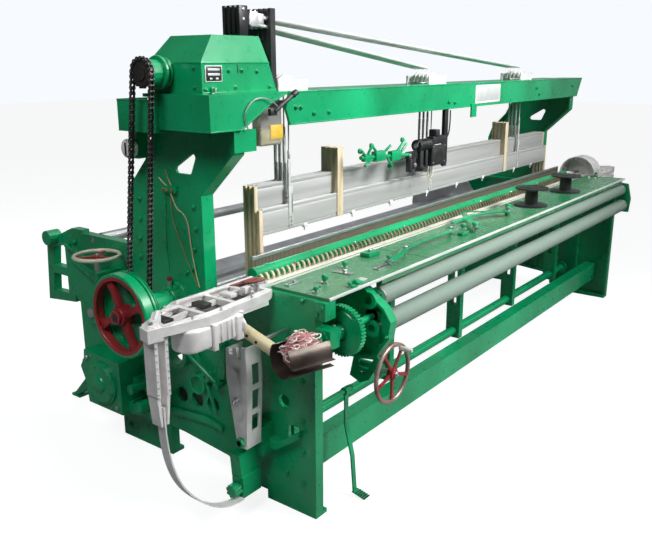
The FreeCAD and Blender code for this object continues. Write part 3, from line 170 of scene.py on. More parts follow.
lamps = [lamp("window", (0.6, -4.2, 4.0), (-0.5, 0, 1.55), 2.6, 80, 70),
         lamp("side", (-4.6, -1.2, 4.6), (-1.6, 0, 1.3), 2.0, 22, 80),
         lamp("roof", (0.2, -0.6, 5.2), (0, 0, 0.7), 3.0, 42)]
print("lamps", len(lamps))

# %% [markdown]
# ## Paint
# The castings are sprayed with one bright green gloss paint. Real paint on a used machine isn't one colour: it is
# darker where oily dust gathers, and thinner along the edges. A picture of old paint could be laid on, but it would
# stretch on such long parts. Two noises need no picture: a broad one for colour, and a fine one for roughness and
# grain. Bare aluminium, polished steel, rubbed wood and plastics get the same two.

# %% Two noises
def ramp_between(tree, dark, pale, low, high):
    """A colour ramp that goes from dark to pale between two positions."""
    ramp = new_node(tree, "ValToRGB")
    for element, position, colour in zip(ramp.color_ramp.elements, (low, high), (dark, pale)):
        element.position = position
        element.color = (*colour, 1)
    return ramp


def raised(source, shader, strength, distance):
    """Lets a pattern raise the surface a little."""
    relief = new_node(source.id_data, "Bump", {"Strength": strength, "Distance": distance})
    wire(source, "Fac", relief, "Height")
    wire(relief, "Normal", shader, "Normal")


def mottled(name, dark, pale, scale, rough, bump, bump_scale, metal=0.0, stretch=(1, 1, 1)):
    """A finish of two noises over the Object coordinates: broad for colour, fine for roughness and grain."""
    look = new_look(name, {"Metallic": metal})
    tree, shader = look.node_tree, main_shader(look)
    place = new_node(tree, "TexCoord")
    mapping = new_node(tree, "Mapping", {"Scale": stretch})
    broad = new_node(tree, "TexNoise", {"Scale": scale, "Detail": 6.0})
    ramp = ramp_between(tree, dark, pale, 0.3, 0.7)
    grain = new_node(tree, "TexNoise", {"Scale": bump_scale, "Detail": 4.0})
    gloss = new_node(tree, "MapRange", {"To Min": rough[0], "To Max": rough[1]})
    wire(place, "Object", mapping, "Vector")
    wire(mapping, "Vector", broad, "Vector")
    wire(broad, "Fac", ramp, "Fac")
    wire(ramp, "Color", shader, "Base Color")
    wire(mapping, "Vector", grain, "Vector")
    wire(grain, "Fac", gloss, "Value")
    wire(gloss, "Result", shader, "Roughness")
    raised(grain, shader, bump, 0.002)
    return look


# %% Paints and enamels
paint = mottled("green_paint", (0.0, 0.24, 0.085), (0.004, 0.43, 0.165), 3.0, (0.2, 0.4), 0.04, 24.0)
tuned(paint, {"Coat Weight": 0.35, "Coat Roughness": 0.12})
red_paint = mottled("red_paint", (0.22, 0.014, 0.018), (0.42, 0.035, 0.04), 6.0, (0.3, 0.5), 0.1, 60.0)
black_paint = mottled("black_enamel", (0.010, 0.011, 0.012), (0.035, 0.036, 0.038), 8.0, (0.3, 0.5), 0.1, 80.0)
white_look = mottled("white_enamel", (0.70, 0.70, 0.68), (0.86, 0.86, 0.84), 10.0, (0.3, 0.45), 0.05, 90.0)
pale_grey = mottled("pale_grey_enamel", (0.54, 0.54, 0.50), (0.76, 0.76, 0.73), 9.0, (0.3, 0.45), 0.06, 90.0)
cream_enamel = mottled("cream_enamel", (0.64, 0.60, 0.45), (0.82, 0.79, 0.66), 9.0, (0.3, 0.45), 0.06, 90.0)
plate_look = mottled("worn_plate_paint", (0.015, 0.19, 0.075), (0.11, 0.29, 0.15), 2.2, (0.18, 0.34), 0.06, 40.0,
                     stretch=(0.5, 1, 1))
tuned(plate_look, {"Specular IOR Level": 0.3})
# A pale finish laid along the breast plate's front edge as a painted highlight.
edge_highlight = mottled("painted_highlight_edge", (0.66, 0.70, 0.67), (0.88, 0.90, 0.88), 6.0, (0.3, 0.5), 0.08, 60.0, metal=0.2)
rim_look = mottled("hand_worn_rim", (0.24, 0.09, 0.07), (0.52, 0.42, 0.37), 9.0, (0.25, 0.4), 0.06, 90.0, metal=0.4)
print("paints and enamels, looks so far", len(bpy.data.materials))

# %% Bare metals
steel = mottled("bright_steel", (0.52, 0.53, 0.54), (0.72, 0.73, 0.74), 8.0, (0.22, 0.42), 0.05, 120.0, metal=0.9)
dark_steel = mottled("oiled_steel", (0.02, 0.02, 0.02), (0.11, 0.10, 0.095), 12.0, (0.3, 0.5), 0.15, 100.0, metal=0.6)
rust_look = mottled("red_brown_steel", (0.15, 0.035, 0.03), (0.30, 0.085, 0.065), 12.0, (0.35, 0.55), 0.12, 90.0)
sheet_look = mottled("oiled_sheet_steel", (0.045, 0.034, 0.027), (0.16, 0.13, 0.11), 7.0, (0.3, 0.5), 0.08, 70.0,
                     metal=0.65)
rod_look = mottled("pale_rod", (0.50, 0.51, 0.50), (0.66, 0.67, 0.66), 6.0, (0.38, 0.5), 0.04, 90.0, metal=0.1)
race_look = mottled("polished_race", (0.66, 0.62, 0.52), (0.92, 0.90, 0.82), 4.0, (0.25, 0.42), 0.06, 80.0, metal=0.2,
                    stretch=(0.3, 2, 2))
aluminium = mottled("brushed_aluminium", (0.58, 0.59, 0.61), (0.78, 0.79, 0.81), 14.0, (0.35, 0.55), 0.12, 150.0,
                    metal=0.7)
cast_look = mottled("cast_aluminium", (0.72, 0.70, 0.69), (0.93, 0.92, 0.91), 16.0, (0.36, 0.55), 0.25, 190.0,
                    metal=0.25)
rail_look = mottled("heald_aluminium", (0.48, 0.48, 0.47), (0.68, 0.68, 0.67), 5.0, (0.32, 0.5), 0.06, 90.0, metal=0.5,
                    stretch=(0.2, 1, 4))
pale_plate = mottled("etched_plate", (0.58, 0.62, 0.60), (0.74, 0.77, 0.75), 15.0, (0.32, 0.5), 0.08, 140.0, metal=0.3)
brass = mottled("drawn_brass", (0.48, 0.33, 0.14), (0.74, 0.56, 0.27), 25.0, (0.28, 0.45), 0.06, 160.0, metal=0.85)
brown = mottled("brown_hooks", (0.12, 0.07, 0.045), (0.30, 0.19, 0.12), 20.0, (0.4, 0.6), 0.1, 90.0)
print("bare metals, looks so far", len(bpy.data.materials))

# %% Wood, plastics and yarn
wood = mottled("rubbed_wood", (0.58, 0.45, 0.26), (0.80, 0.71, 0.54), 9.0, (0.45, 0.65), 0.2, 40.0, stretch=(6, 6, 0.6))
cream = mottled("cream_plastic", (0.52, 0.45, 0.25), (0.72, 0.66, 0.44), 12.0, (0.35, 0.5), 0.05, 90.0)
clip_look = mottled("white_nylon", (0.70, 0.71, 0.70), (0.84, 0.85, 0.84), 22.0, (0.4, 0.55), 0.05, 120.0)
yellow_look = mottled("yellow_plastic", (0.70, 0.43, 0.03), (0.88, 0.62, 0.10), 20.0, (0.35, 0.5), 0.05, 120.0)
clear_plastic = mottled("clear_plastic", (0.72, 0.72, 0.64), (0.86, 0.86, 0.82), 12.0, (0.12, 0.28), 0.05, 60.0)
tuned(clear_plastic, {"Transmission Weight": 0.8, "IOR": 1.45})
yarn_look = mottled("yarn", (0.62, 0.38, 0.35), (0.84, 0.64, 0.60), 30.0, (0.8, 0.95), 0.25, 300.0)
yarn_pale = mottled("pale_yarn", (0.82, 0.68, 0.63), (0.95, 0.88, 0.84), 40.0, (0.8, 0.95), 0.25, 300.0)
# Dark rose: a yarn colour for some curls, and painted shade as the heap's ball.
rose_yarn_and_shade = mottled("rose_yarn_and_heap_shade", (0.34, 0.13, 0.13), (0.56, 0.28, 0.27), 40.0, (0.8, 0.95), 0.25, 300.0)
print("wood, plastics and yarn, looks so far", len(bpy.data.materials))

# %% [markdown]
# ## Hooks paler at one end, and the reed
# The guide hooks are paler near the open guide and brown further in, so their colour is mixed along the
# loom's length. The reed has thousands of thin dents, and the rollers have fine flutes. Modelled one by one they
# would cost far more faces than they show, so a wave draws them as bands, darker in their hollows as painted shade.

# %% Hooks that fade along the loom
FIRST_COLOUR, SECOND_COLOUR, MIXED_COLOUR = 6, 7, 2     # the Mix node's colour sockets share their names with others


def faded(look, pale, start, end):
    """Mixes a look's colour towards a pale one, from the Object X of end to that of start, in metres."""
    tree, shader = look.node_tree, main_shader(look)
    place = new_node(tree, "TexCoord")
    parts = new_node(tree, "SeparateXYZ")
    span = new_node(tree, "MapRange", {"From Min": end, "From Max": start})
    blend = new_node(tree, "Mix")
    blend.data_type = "RGBA"
    blend.inputs[SECOND_COLOUR].default_value = (*pale, 1)
    wire(place, "Object", parts, "Vector")
    wire(parts, "X", span, "Value")
    wire(span, "Result", blend, "Factor")
    tree.links.new(shader.inputs["Base Color"].links[0].from_socket, blend.inputs[FIRST_COLOUR])
    wire(blend, MIXED_COLOUR, shader, "Base Color")


faded(brown, (0.62, 0.54, 0.36), -1.66, -1.0)
print("hook look", len(brown.node_tree.nodes), "nodes")


# %% Reed dents and roller flutes, as bands
def banded(name, rough, metal, dark, pale, bands):
    """A finish of fine bands: a wave along the Object X raises the surface and darkens its hollows as painted shade."""
    look = new_look(name, {"Roughness": rough, "Metallic": metal})
    tree, shader = look.node_tree, main_shader(look)
    place = new_node(tree, "TexCoord")
    wave = new_node(tree, "TexWave", {"Scale": bands, "Distortion": 0.6, "Detail": 2.0})
    wave.wave_type = "BANDS"
    wave.bands_direction = "X"
    ramp = ramp_between(tree, dark, pale, 0.25, 0.75)
    wire(place, "Object", wave, "Vector")
    wire(wave, "Fac", ramp, "Fac")
    wire(ramp, "Color", shader, "Base Color")
    raised(wave, shader, 0.4, 0.001)
    return look


# The dark bands sit in the hollows of the bump: painted shade between the dents and in the flutes.
reed_look = banded("reed_dents", 0.5, 0.3, (0.05, 0.035, 0.025), (0.30, 0.25, 0.19), 38.0)
cover_look = banded("fluted_covering", 0.75, 0.0, (0.17, 0.245, 0.20), (0.27, 0.35, 0.295), 120.0)
print("finishes", len(bpy.data.materials))

# %% [markdown]
# ## Which finish each node carries
# The frame and the housings are painted. What slides, turns or touches the yarn is bare.

# %% Finishes on the CAD nodes
FRAMES = 4                              # heald frames, each with its own jack lever and rods
finishes = {
    "main_shaft": steel, "flywheel": red_paint, "dobby_sprocket": dark_steel, "drive_chain": dark_steel,
    "selector_knob": white_look, "rod_comb": black_paint, "quadrant_set_1": white_look, "quadrant_set_2": white_look,
    "quadrant_set_3": white_look, "guide_hooks": brown, "reed": reed_look, "left_rapier_guide": cast_look,
    "left_rapier_housing": cast_look, "right_rapier_guide": cast_look, "tape_guide": cast_look,
    "rapier_lever": cast_look, "suction_tube": cream, "waste_holder": sheet_look, "selvedge_waste": yarn_look,
    "upper_roller": cover_look,
    "lower_roller": cover_look, "take_up_handwheel": red_paint, "back_rest_roller": steel, "warp_beam": steel,
    "let_off_handwheel": white_look, "oil_bottle": clear_plastic, "weft_detector": black_paint,
    "weft_spools": black_paint, "start_lever": paint, "breast_plate": plate_look,
}
for n in range(1, FRAMES + 1):
    finishes[f"heald_frame_{n}"] = rail_look
    finishes[f"jack_lever_{n}"] = black_paint
    finishes[f"pull_rods_{n}"] = rod_look
for name, thing in nodes.items():
    thing.data.materials.clear()
    thing.data.materials.append(finishes.get(name, paint))
print("dressed", len(nodes))

# %% [markdown]
# ## Hand tools
# A fitter has a few tools and uses them for everything. These functions are the same: a bevelled block, a round bar
# and a hoop come first. Each starts from one of Blender's own solids, which is quicker and cleaner than a mesh that
# is typed in point by point. All places are working millimetres.

# %% Blocks and bars
def take(thing):
    deselect()
    thing.select_set(True)
    bpy.context.view_layer.objects.active = thing


def edit(thing, action="SELECT"):
    take(thing)
    bpy.ops.object.mode_set(mode="EDIT")
    bpy.ops.mesh.select_all(action=action)


def leave():
    bpy.ops.object.mode_set(mode="OBJECT")


def block(x0, x1, y0, y1, z0, z1, look, bevel=2.0, segments=2):
    """A box between two corners, with its edges broken by a bevel."""
    deselect()
    low, high = at(x0, y0, z0), at(x1, y1, z1)
    bpy.ops.mesh.primitive_cube_add(size=1, location=(low + high) / 2, scale=high - low)
    thing = bpy.context.object
    bpy.ops.object.transform_apply(location=False, rotation=False, scale=True)
    edit(thing)
    bpy.ops.mesh.bevel(offset=bevel / 1000, segments=segments, affect="EDGES")
    leave()
    thing.data.materials.append(look)
    return thing


def round_bar(start, end, r, look, sides=24, bevel=1.0):
    """A bar from start to end; with six sides it is a hexagon head."""
    deselect()
    low, high = at(*start), at(*end)
    turn = (high - low).to_track_quat("Z", "Y").to_euler()
    bpy.ops.mesh.primitive_cylinder_add(vertices=sides, radius=r / 1000, depth=(high - low).length,
                                        location=(low + high) / 2, rotation=turn)
    thing = bpy.context.object
    if bevel:
        edit(thing, "DESELECT")
        bpy.ops.mesh.select_face_by_sides(number=sides)
        bpy.ops.mesh.bevel(offset=bevel / 1000, segments=1 if sides < 12 else 2, affect="EDGES")
        leave()
    thing.data.materials.append(look)
    return thing


def hoop(middle, axis, r, wire_r, look, major=64, minor=12):
    """A closed ring of round wire."""
    deselect()
    turn = {"x": (0, math.pi / 2, 0), "y": (math.pi / 2, 0, 0), "z": (0, 0, 0)}[axis]
    bpy.ops.mesh.primitive_torus_add(major_radius=r / 1000, minor_radius=wire_r / 1000, major_segments=major,
                                     minor_segments=minor, location=at(*middle), rotation=turn)
    thing = bpy.context.object
    thing.data.materials.append(look)
    return thing


# %% [markdown]
# ## Outlines
# Many parts of a loom are cut from plate or turned on a lathe, and both start from one outline. Drawing that outline
# point by point and then pushing or spinning it follows the way the real part is made, and it keeps the corners
# where the drawing puts them.

# %% Outlines: cut plates and turned rings
WELD = 0.00002     # points closer than this, in metres, become one


def drawn(corners):
    """One vertex is pulled from corner to corner, as a scriber follows a template."""
    deselect()
    bpy.ops.mesh.primitive_plane_add(size=0.01, location=corners[0])
    thing = bpy.context.object
    edit(thing)
    bpy.ops.mesh.merge(type="CENTER")
    for here, there in zip(corners, corners[1:]):
        bpy.ops.mesh.extrude_vertices_move(TRANSFORM_OT_translate={"value": there - here})
    bpy.ops.mesh.select_all(action="SELECT")
    return thing


def cut_plate(points, plane, low, high, look, bevel=1.5, segments=1):
    """Flat plate: points lie in the plane across the named axis, and it runs from low to high along that axis."""
    place = {"x": lambda a, b: at(low, a, b), "y": lambda a, b: at(a, low, b), "z": lambda a, b: at(a, b, low)}[plane]
    push = Vector([(high - low) / 1000 if name == plane else 0 for name in "xyz"])
    corners = [place(a, b) for a, b in points]
    thing = drawn(corners + corners[:1])
    bpy.ops.mesh.remove_doubles(threshold=WELD)
    bpy.ops.mesh.edge_face_add()
    bpy.ops.mesh.extrude_region_move(TRANSFORM_OT_translate={"value": push})
    bpy.ops.mesh.select_all(action="SELECT")
    bpy.ops.mesh.normals_make_consistent(inside=False)
    if bevel:
        bpy.ops.mesh.bevel(offset=bevel / 1000, segments=segments, affect="EDGES")
    leave()
    thing.data.materials.append(look)
    return thing


def turned(profile, middle, axis, look, steps=48):
    """Ring or boss: (along, radius) corners, closed when the last equals the first, are spun about an axis."""
    along = Vector([1.0 if name == axis else 0.0 for name in "xyz"])
    out = Vector((1, 0, 0)) if axis == "z" else Vector((0, 0, 1))
    centre = at(*middle)
    thing = drawn([centre + along * (a / 1000) + out * (r / 1000) for a, r in profile])
    bpy.ops.mesh.spin(steps=steps, angle=2 * math.pi, center=centre, axis=along)
    bpy.ops.mesh.select_all(action="SELECT")
    bpy.ops.mesh.remove_doubles(threshold=WELD)
    bpy.ops.mesh.normals_make_consistent(inside=False)
    leave()
    thing.data.materials.append(look)
    return thing


# %% [markdown]
# ## Copies and finished pieces
# A repeated part is made once and copied, each copy with its own mesh.

# %% Copies and turns
def copied(thing, shift=(0, 0, 0)):
    take(thing)
    bpy.ops.object.duplicate(linked=False)
    twin = bpy.context.object
    twin.location += Vector(shift) / 1000
    return twin


def spun_copies(thing, count, middle, axis):
    """The thing and its copies, at equal angles about an axis."""
    line = Vector([1.0 if name == axis else 0.0 for name in "xyz"])
    centre = Matrix.Translation(at(*middle))
    twins = [thing]
    for i in range(1, count):
        twin = copied(thing)
        turn = Matrix.Rotation(2 * math.pi * i / count, 4, line)
        twin.matrix_world = centre @ turn @ centre.inverted() @ thing.matrix_world
        twins.append(twin)
    return twins


def swung(things, degrees, middle, axis):
    """Turns the things together about an axis through their middle."""
    centre = at(*middle)
    turn = Matrix.Translation(centre) @ Matrix.Rotation(math.radians(degrees), 4, axis) @ Matrix.Translation(-centre)
    for thing in things:
        thing.matrix_world = turn @ thing.matrix_world
    return things


def on_circle(r, angles):
    """Steps from a circle's middle to its rim, as pairs of millimetres."""
    return [(r * math.cos(a), r * math.sin(a)) for a in angles]


def even_angles(count, first=0.0):
    return [first + 2 * math.pi * k / count for k in range(count)]


# %% Joining, and the finished piece
def joined(things):
    """One object of them all, with its place baked into the mesh."""
    deselect()
    for thing in things:
        thing.select_set(True)
    bpy.context.view_layer.objects.active = things[0]
    if len(things) > 1:
        bpy.ops.object.join()
    bpy.ops.object.transform_apply(location=True, rotation=True, scale=True)
    return bpy.context.object


def fused(things, name, body="loom", replaces=(), angle=35):
    """Joins the things into one finished piece that rides on a body."""
    piece = joined(things)
    bpy.ops.object.shade_smooth_by_angle(angle=math.radians(angle))
    piece.name = name
    piece.data.name = name
    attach(piece, body)
    if replaces:
        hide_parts(*replaces)
    return piece


# %% [markdown]
# ## Bolts
# The castings are held by hexagon bolts with plain washers, painted over with the frame. One bolt is modelled, and
# the others are copies of it, turned to face the way their face looks.

# %% One bolt, and rows of it
def bolt_rows(places, facing, name, look, size=9.0):
    """One bolt of a size, copied to all places with its head towards facing."""
    head_top = 2.2 + size * 0.75
    bolt = joined([round_bar((0, 0, 0), (0, 0, 2.4), size * 1.35, look, 20, 0.6),
                   round_bar((0, 0, 2.2), (0, 0, head_top), size, look, 6, 0.9),
                   round_bar((0, 0, 2), (0, 0, head_top + size * 0.45), size * 0.5, look, 12, 0.6)])
    home = Matrix.Translation(-at(0, 0, 0))
    lean = Vector(facing).to_track_quat("Z", "Y").to_matrix().to_4x4()
    twins = []
    for place in places:
        twin = copied(bolt)
        twin.matrix_world = Matrix.Translation(at(*place)) @ lean @ home
        twins.append(twin)
    bpy.data.objects.remove(bolt)
    return fused(twins, name)


# %% [markdown]
# ## The roller chain
# A roller chain is two kinds of link in turn. An inner link has two plates on two bushes with rollers, and an outer
# link has two plates on two pins. Both plates are shaped like an eight. One link of each kind is modelled here, and
# their copies are laid along the chain's pitch line, which is two straight runs and the arcs round the sprockets.

# %% The chain's pitch line
MAIN_Y, MAIN_Z = 715.0, 737.0           # the main shaft, at the lower sprocket
DOBBY_Y, DOBBY_Z = 602.0, 1624.217      # the dobby's shaft, at the upper one
PITCH, LINKS = 19.05, 112
LOW_TEETH, HIGH_TEETH = 20, 16
LOW_R, HIGH_R = PITCH / (2 * math.sin(math.pi / LOW_TEETH)), PITCH / (2 * math.sin(math.pi / HIGH_TEETH))
LOW, HIGH = Vector((MAIN_Y, MAIN_Z)), Vector((DOBBY_Y, DOBBY_Z))
CHAIN_X = -190.0


def chain_pin(i):
    """Place of a pin of the chain, as (y, z)."""
    up = (HIGH - LOW).normalized()
    ahead = Vector((-up.y, up.x))
    distance = (HIGH - LOW).length
    slope = math.asin((LOW_R - HIGH_R) / distance)
    straight = distance * math.cos(slope)
    top = HIGH_R * (math.pi - 2 * slope)
    run = (i % LINKS) * PITCH
    if run < straight:
        out = ahead * math.cos(slope) + up * math.sin(slope)
        return LOW + out * LOW_R + (up * math.cos(slope) - ahead * math.sin(slope)) * run
    if run < straight + top:
        turn = slope + (run - straight) / HIGH_R
        return HIGH + (ahead * math.cos(turn) + up * math.sin(turn)) * HIGH_R
    if run < 2 * straight + top:
        out = up * math.sin(slope) - ahead * math.cos(slope)
        return HIGH + out * HIGH_R - (up * math.cos(slope) + ahead * math.sin(slope)) * (run - straight - top)
    turn = math.pi - slope + (run - 2 * straight - top) / LOW_R
    return LOW + (ahead * math.cos(turn) + up * math.sin(turn)) * LOW_R


print("chain pins", LINKS, "first", chain_pin(0))


# %% [markdown]
# ## The chain's links
# Plates of the two kinds of link lie in four planes, so an outer link always passes outside an inner one. The rollers
# are ten-sided and the pins eight-sided: at a chain's size the eye can't count the sides, and there are 112 links.

# %% One inner and one outer link
def link_plate(x0, x1):
    half = [(-8.0, 0.0), (-5.6, 5.8), (0.0, 8.2), (5.0, 6.6), (PITCH / 2, 5.2), (PITCH - 5.0, 6.6), (PITCH, 8.2),
            (PITCH + 5.6, 5.8), (PITCH + 8.0, 0.0)]
    loop = half + [(y, -z) for y, z in half[-2:0:-1]]
    return cut_plate(loop, "x", x0, x1, dark_steel, 0)


def link(rows, barrel_r, barrel_half, look, sides):
    barrels = [round_bar((-barrel_half, y, 0), (barrel_half, y, 0), barrel_r, look, sides, 0) for y in (0, PITCH)]
    return joined([link_plate(x0, x1) for x0, x1 in rows] + barrels)


inner_link = link([(-6.9, -5.2), (5.2, 6.9)], 5.4, 5.6, dark_steel, 10)
outer_link = link([(-8.7, -7.1), (7.1, 8.7)], 3.2, 9.6, steel, 8)
print("links", inner_link.dimensions, outer_link.dimensions)

# %% Links laid along the pitch line
chain = []
for i in range(LINKS):
    here, there = chain_pin(i), chain_pin(i + 1)
    lean = math.atan2(there.y - here.y, there.x - here.x)
    twin = copied(outer_link if i % 2 else inner_link)
    twin.matrix_world = (Matrix.Translation(at(CHAIN_X, here.x, here.y)) @ Matrix.Rotation(lean, 4, "X")
                         @ Matrix.Translation(-at(0, 0, 0)))
    chain.append(twin)
bpy.data.objects.remove(inner_link)
bpy.data.objects.remove(outer_link)
fused(chain, "roller_chain", "loom", ("drive_chain",))
print("chain", LINKS, "links")

# %% [markdown]
# ## Flywheel and drive pulley
# The flywheel's rim is turned bright green outside and red inside, with four broad arms that widen to the rim. A
# turned profile gives the rim its bead and its chamfers. The arms are plates cut to an outline.

# %% Flywheel
hub_middle = (-265, MAIN_Y, MAIN_Z)
rim = turned([(-22, 152), (-22, 161), (-18, 165), (18, 165), (22, 161), (22, 152), (17, 148), (-17, 148), (-22, 152)],
             hub_middle, "x", paint, 96)
lining = turned([(-23, 140), (-23, 153), (20, 153), (20, 146.5), (14, 144), (-14, 144), (-20, 138), (-23, 140)],
                hub_middle, "x", red_paint, 96)
arm = cut_plate([(MAIN_Y - 20, MAIN_Z + 28), (MAIN_Y - 12, MAIN_Z + 92), (MAIN_Y - 25, MAIN_Z + 146),
                 (MAIN_Y + 25, MAIN_Z + 146), (MAIN_Y + 12, MAIN_Z + 92), (MAIN_Y + 20, MAIN_Z + 28)],
                "x", -277, -254, red_paint, 4, 2)
arms = swung(spun_copies(arm, 4, hub_middle, "x"), 65, hub_middle, "X")
hub = turned([(-26, 25.2), (-26, 31), (-22, 35), (24, 40), (27, 38), (27, 25.2)], hub_middle, "x", red_paint, 40)
nut = round_bar((-304, MAIN_Y, MAIN_Z), (-291, MAIN_Y, MAIN_Z), 26.5, red_paint, 24, 2)
end = round_bar((-306, MAIN_Y, MAIN_Z), (-303, MAIN_Y, MAIN_Z), 15, dark_steel, 20, 1.2)
fused([rim, lining, hub, nut, end] + arms, "flywheel_dressed", "main_drive", ("flywheel",))

pulley = turned([(-9, 157), (-9, 161), (-7.5, 166), (-5.5, 166), (-4.5, 161), (4.5, 161), (5.5, 166), (7.5, 166),
                 (9, 161), (9, 157)], (-231, MAIN_Y, MAIN_Z), "x", paint, 96)
fused([pulley], "pulley_rim", "main_drive")

# %% [markdown]
# ## Bearings on the dobby end
# Where a shaft leaves the side frame there is a turned bearing housing with a flange, a ring of bolts and a grease
# cup. These are what make the end of the machine look like an engine and not like a flat plate.

# %% Bearing rings
FAR_FACE = 3466                         # outer face of the far side frame
dobby_z = round(DOBBY_Z, 1)
rings = [turned([(-48, 46), (-48, 50), (-44, 54), (-26, 56), (-16, 60), (-12, 72), (-8, 76), (0, 76), (0, 46)],
                (0, MAIN_Y, MAIN_Z), "x", paint, 48),
         turned([(0, 30), (0, 50), (3, 54), (9, 54), (12, 48), (12, 30)], (-102, DOBBY_Y, dobby_z), "x", paint, 48),
         turned([(0, 34), (0, 58), (4, 60), (10, 60), (12, 56), (12, 34)], (-128, DOBBY_Y, dobby_z), "x", paint, 48),
         turned([(0, 25.4), (0, 44), (4, 48), (14, 48), (14, 25.4)], (-14, 345, 172), "x", paint, 40),
         turned([(0, 22.4), (0, 52), (4, 56), (12, 56), (12, 22.4)], (-12, 1290, 560), "x", paint, 40),
         turned([(0, 22.4), (0, 52), (4, 56), (12, 56), (12, 22.4)], (FAR_FACE, 1290, 560), "x", paint, 40),
         turned([(0, 25.4), (0, 60), (4, 64), (14, 64), (14, 25.4)], (FAR_FACE, MAIN_Y, MAIN_Z), "x", paint, 40)]
cups = [round_bar((-30, MAIN_Y, MAIN_Z + 52), (-30, MAIN_Y, MAIN_Z + 84), 8, steel, 12, 1.5),
        round_bar((-30, MAIN_Y, MAIN_Z + 84), (-30, MAIN_Y, MAIN_Z + 96), 12, red_paint, 16, 2)]
fused(rings + cups, "bearing_rings")
ring_bolts = [(-12, MAIN_Y + dy, MAIN_Z + dz) for dy, dz in on_circle(66, even_angles(4, 0.5))]
bolt_rows(ring_bolts, (-1, 0, 0), "bearing_bolts", paint, 6.5)
print("bearing rings", len(rings))

# %% [markdown]
# ## The dobby
# The dobby chooses which heald frames rise. Its case is welded sheet, so it shows a seam under the lid, a folded
# bead along its edges, small screws, a bare plate and the drain plug. The seam and beads are thin strips that are
# a little proud of the case.

# %% Seams, screws and the bare plate
seams = [block(-90.5, 259.5, 413, 415.6, 1654, 1660, paint, 0.8),
         block(-90.6, -88.6, 414, 691, 1654, 1660, paint, 0.8),
         block(-90.5, 299, 412.5, 415.6, 1552, 1558, paint, 0.8),
         block(88, 92.5, 413.6, 415.4, 1622, 1655, black_paint, 0.6),
         block(-58, -16, 398, 415.4, 1552.5, 1557, paint, 1.2), block(-50, -24, 406, 415.4, 1557, 1576, paint, 1.5),
         cut_plate([(-91, 1552), (-84, 1552), (-84, 1656), (-91, 1656)], "y", 411, 415.5, paint, 1.2)]
seams.append(round_bar((-38, 404, 1557), (-38, 404, 1572), 6, steel, 12, 1))
fused(seams, "dobby_seams")
bolt_rows([(44, 415, 1630), (111, 415, 1630), (191, 415, 1626), (77, 415, 1571), (260, 415, 1570), (-70, 415, 1566)],
          (0, -1, 0), "dobby_screws", paint, 6.5)
bolt_rows([(-89, 450, 1575), (-89, 660, 1575), (-89, 450, 1640), (-89, 665, 1640)], (-1, 0, 0), "dobby_end_screws",
          paint, 6.5)
plate = [block(-72, 9, 411.8, 415.4, 1593, 1648, white_look, 1.0),
         block(-69, 6, 411.1, 413, 1596, 1645, black_paint, 0.6),
         block(-60, -3, 410.7, 412, 1631, 1638, pale_plate, 0.3),
         block(-60, -3, 410.7, 412, 1614, 1622, pale_plate, 0.3),
         block(-52, -40, 410.7, 412, 1601, 1607, pale_plate, 0.3),
         block(-22, -10, 410.7, 412, 1601, 1607, pale_plate, 0.3)]
fused(plate, "bare_plate", "loom")
print("dobby front dressed")

# %% [markdown]
# ## Jack heads and rod clamps
# Above the case each heald frame has its own black jack lever, and a pair of rods is clamped to it. The heads and
# clamps ride on the levers and the rods, so they are four pieces of each kind, set out at the frames' pitch.

# %% Jack heads and rod clamps
HEALD_Y, HEALD_PITCH = 460, 24          # the front frame's middle, and the step to the next
for n in range(FRAMES):
    y = HEALD_Y + HEALD_PITCH * n
    lever = [block(147, 193, y - 7.6, y + 6.6, 1752, 1858.5, black_paint, 2.5),
             round_bar((170, y - 9.5, 1845), (170, y - 7, 1845), 6, steel, 12, 0.8)]
    fused(lever, f"jack_head_{n + 1}", f"jack_{n + 1}")
    clamp = [block(207, 250, y - 8, y + 9.5, 1786, 1840, aluminium, 3),
             block(250, 282, y - 6.5, y + 6.5, 1792, 1834, aluminium, 3)]
    clamp += [round_bar((x, y, 1778), (x, y, 1846), 3.4, steel, 8, 0.6) for x in (216, 240)]
    fused(clamp, f"rod_clamp_{n + 1}", f"rods_{n + 1}")
print("jack heads", FRAMES)

# %% [markdown]
# ## The tray under the dobby
# The tray is folded sheet. Its front apron has a bead along the lower edge, made as a thin strip, and the black hand
# lever comes up behind it with a thicker grip at its end.

# %% Tray edges and hand lever
tray = [block(-123.5, -120, 345, 612, 1425, 1431, paint, 1), block(-123, 22, 344.4, 347, 1425, 1430, paint, 0.8),
        block(-124, -120.5, 344.6, 349, 1426, 1551, paint, 0.8),
        cut_plate([(22, 1425), (205, 1524), (286, 1552), (286, 1546), (206, 1518), (24, 1419.5)], "y", 344.4, 346.4,
                  paint, 0.6),
        block(-141.5, -139.5, 606, 818, 1414, 1420, paint, 0.8),
        block(-141.5, -139.5, 606, 818, 1525, 1531, paint, 0.8),
        block(-116, -12, 500, 640, 1446, 1450, paint, 1)]
fused(tray, "tray_edges")
handle = round_bar((198, 338, 1483), (300, 330, 1542), 8.5, black_paint, 20, 3)
grip_end = round_bar((292, 330.5, 1537), (318, 328.5, 1552), 12, black_paint, 20, 4)
root = block(176, 214, 336, 352, 1468, 1494, black_paint, 3)
fused([handle, grip_end, root], "hand_lever", "loom")
print("tray dressed")

# %% [markdown]
# ## Thin pipes
# Oil pipes and leads are clipped to the casting along their way, so they run in soft bends. A NURBS line with a round
# section gives the bends from a few points, and it is turned into a mesh at once, so that it can be joined.

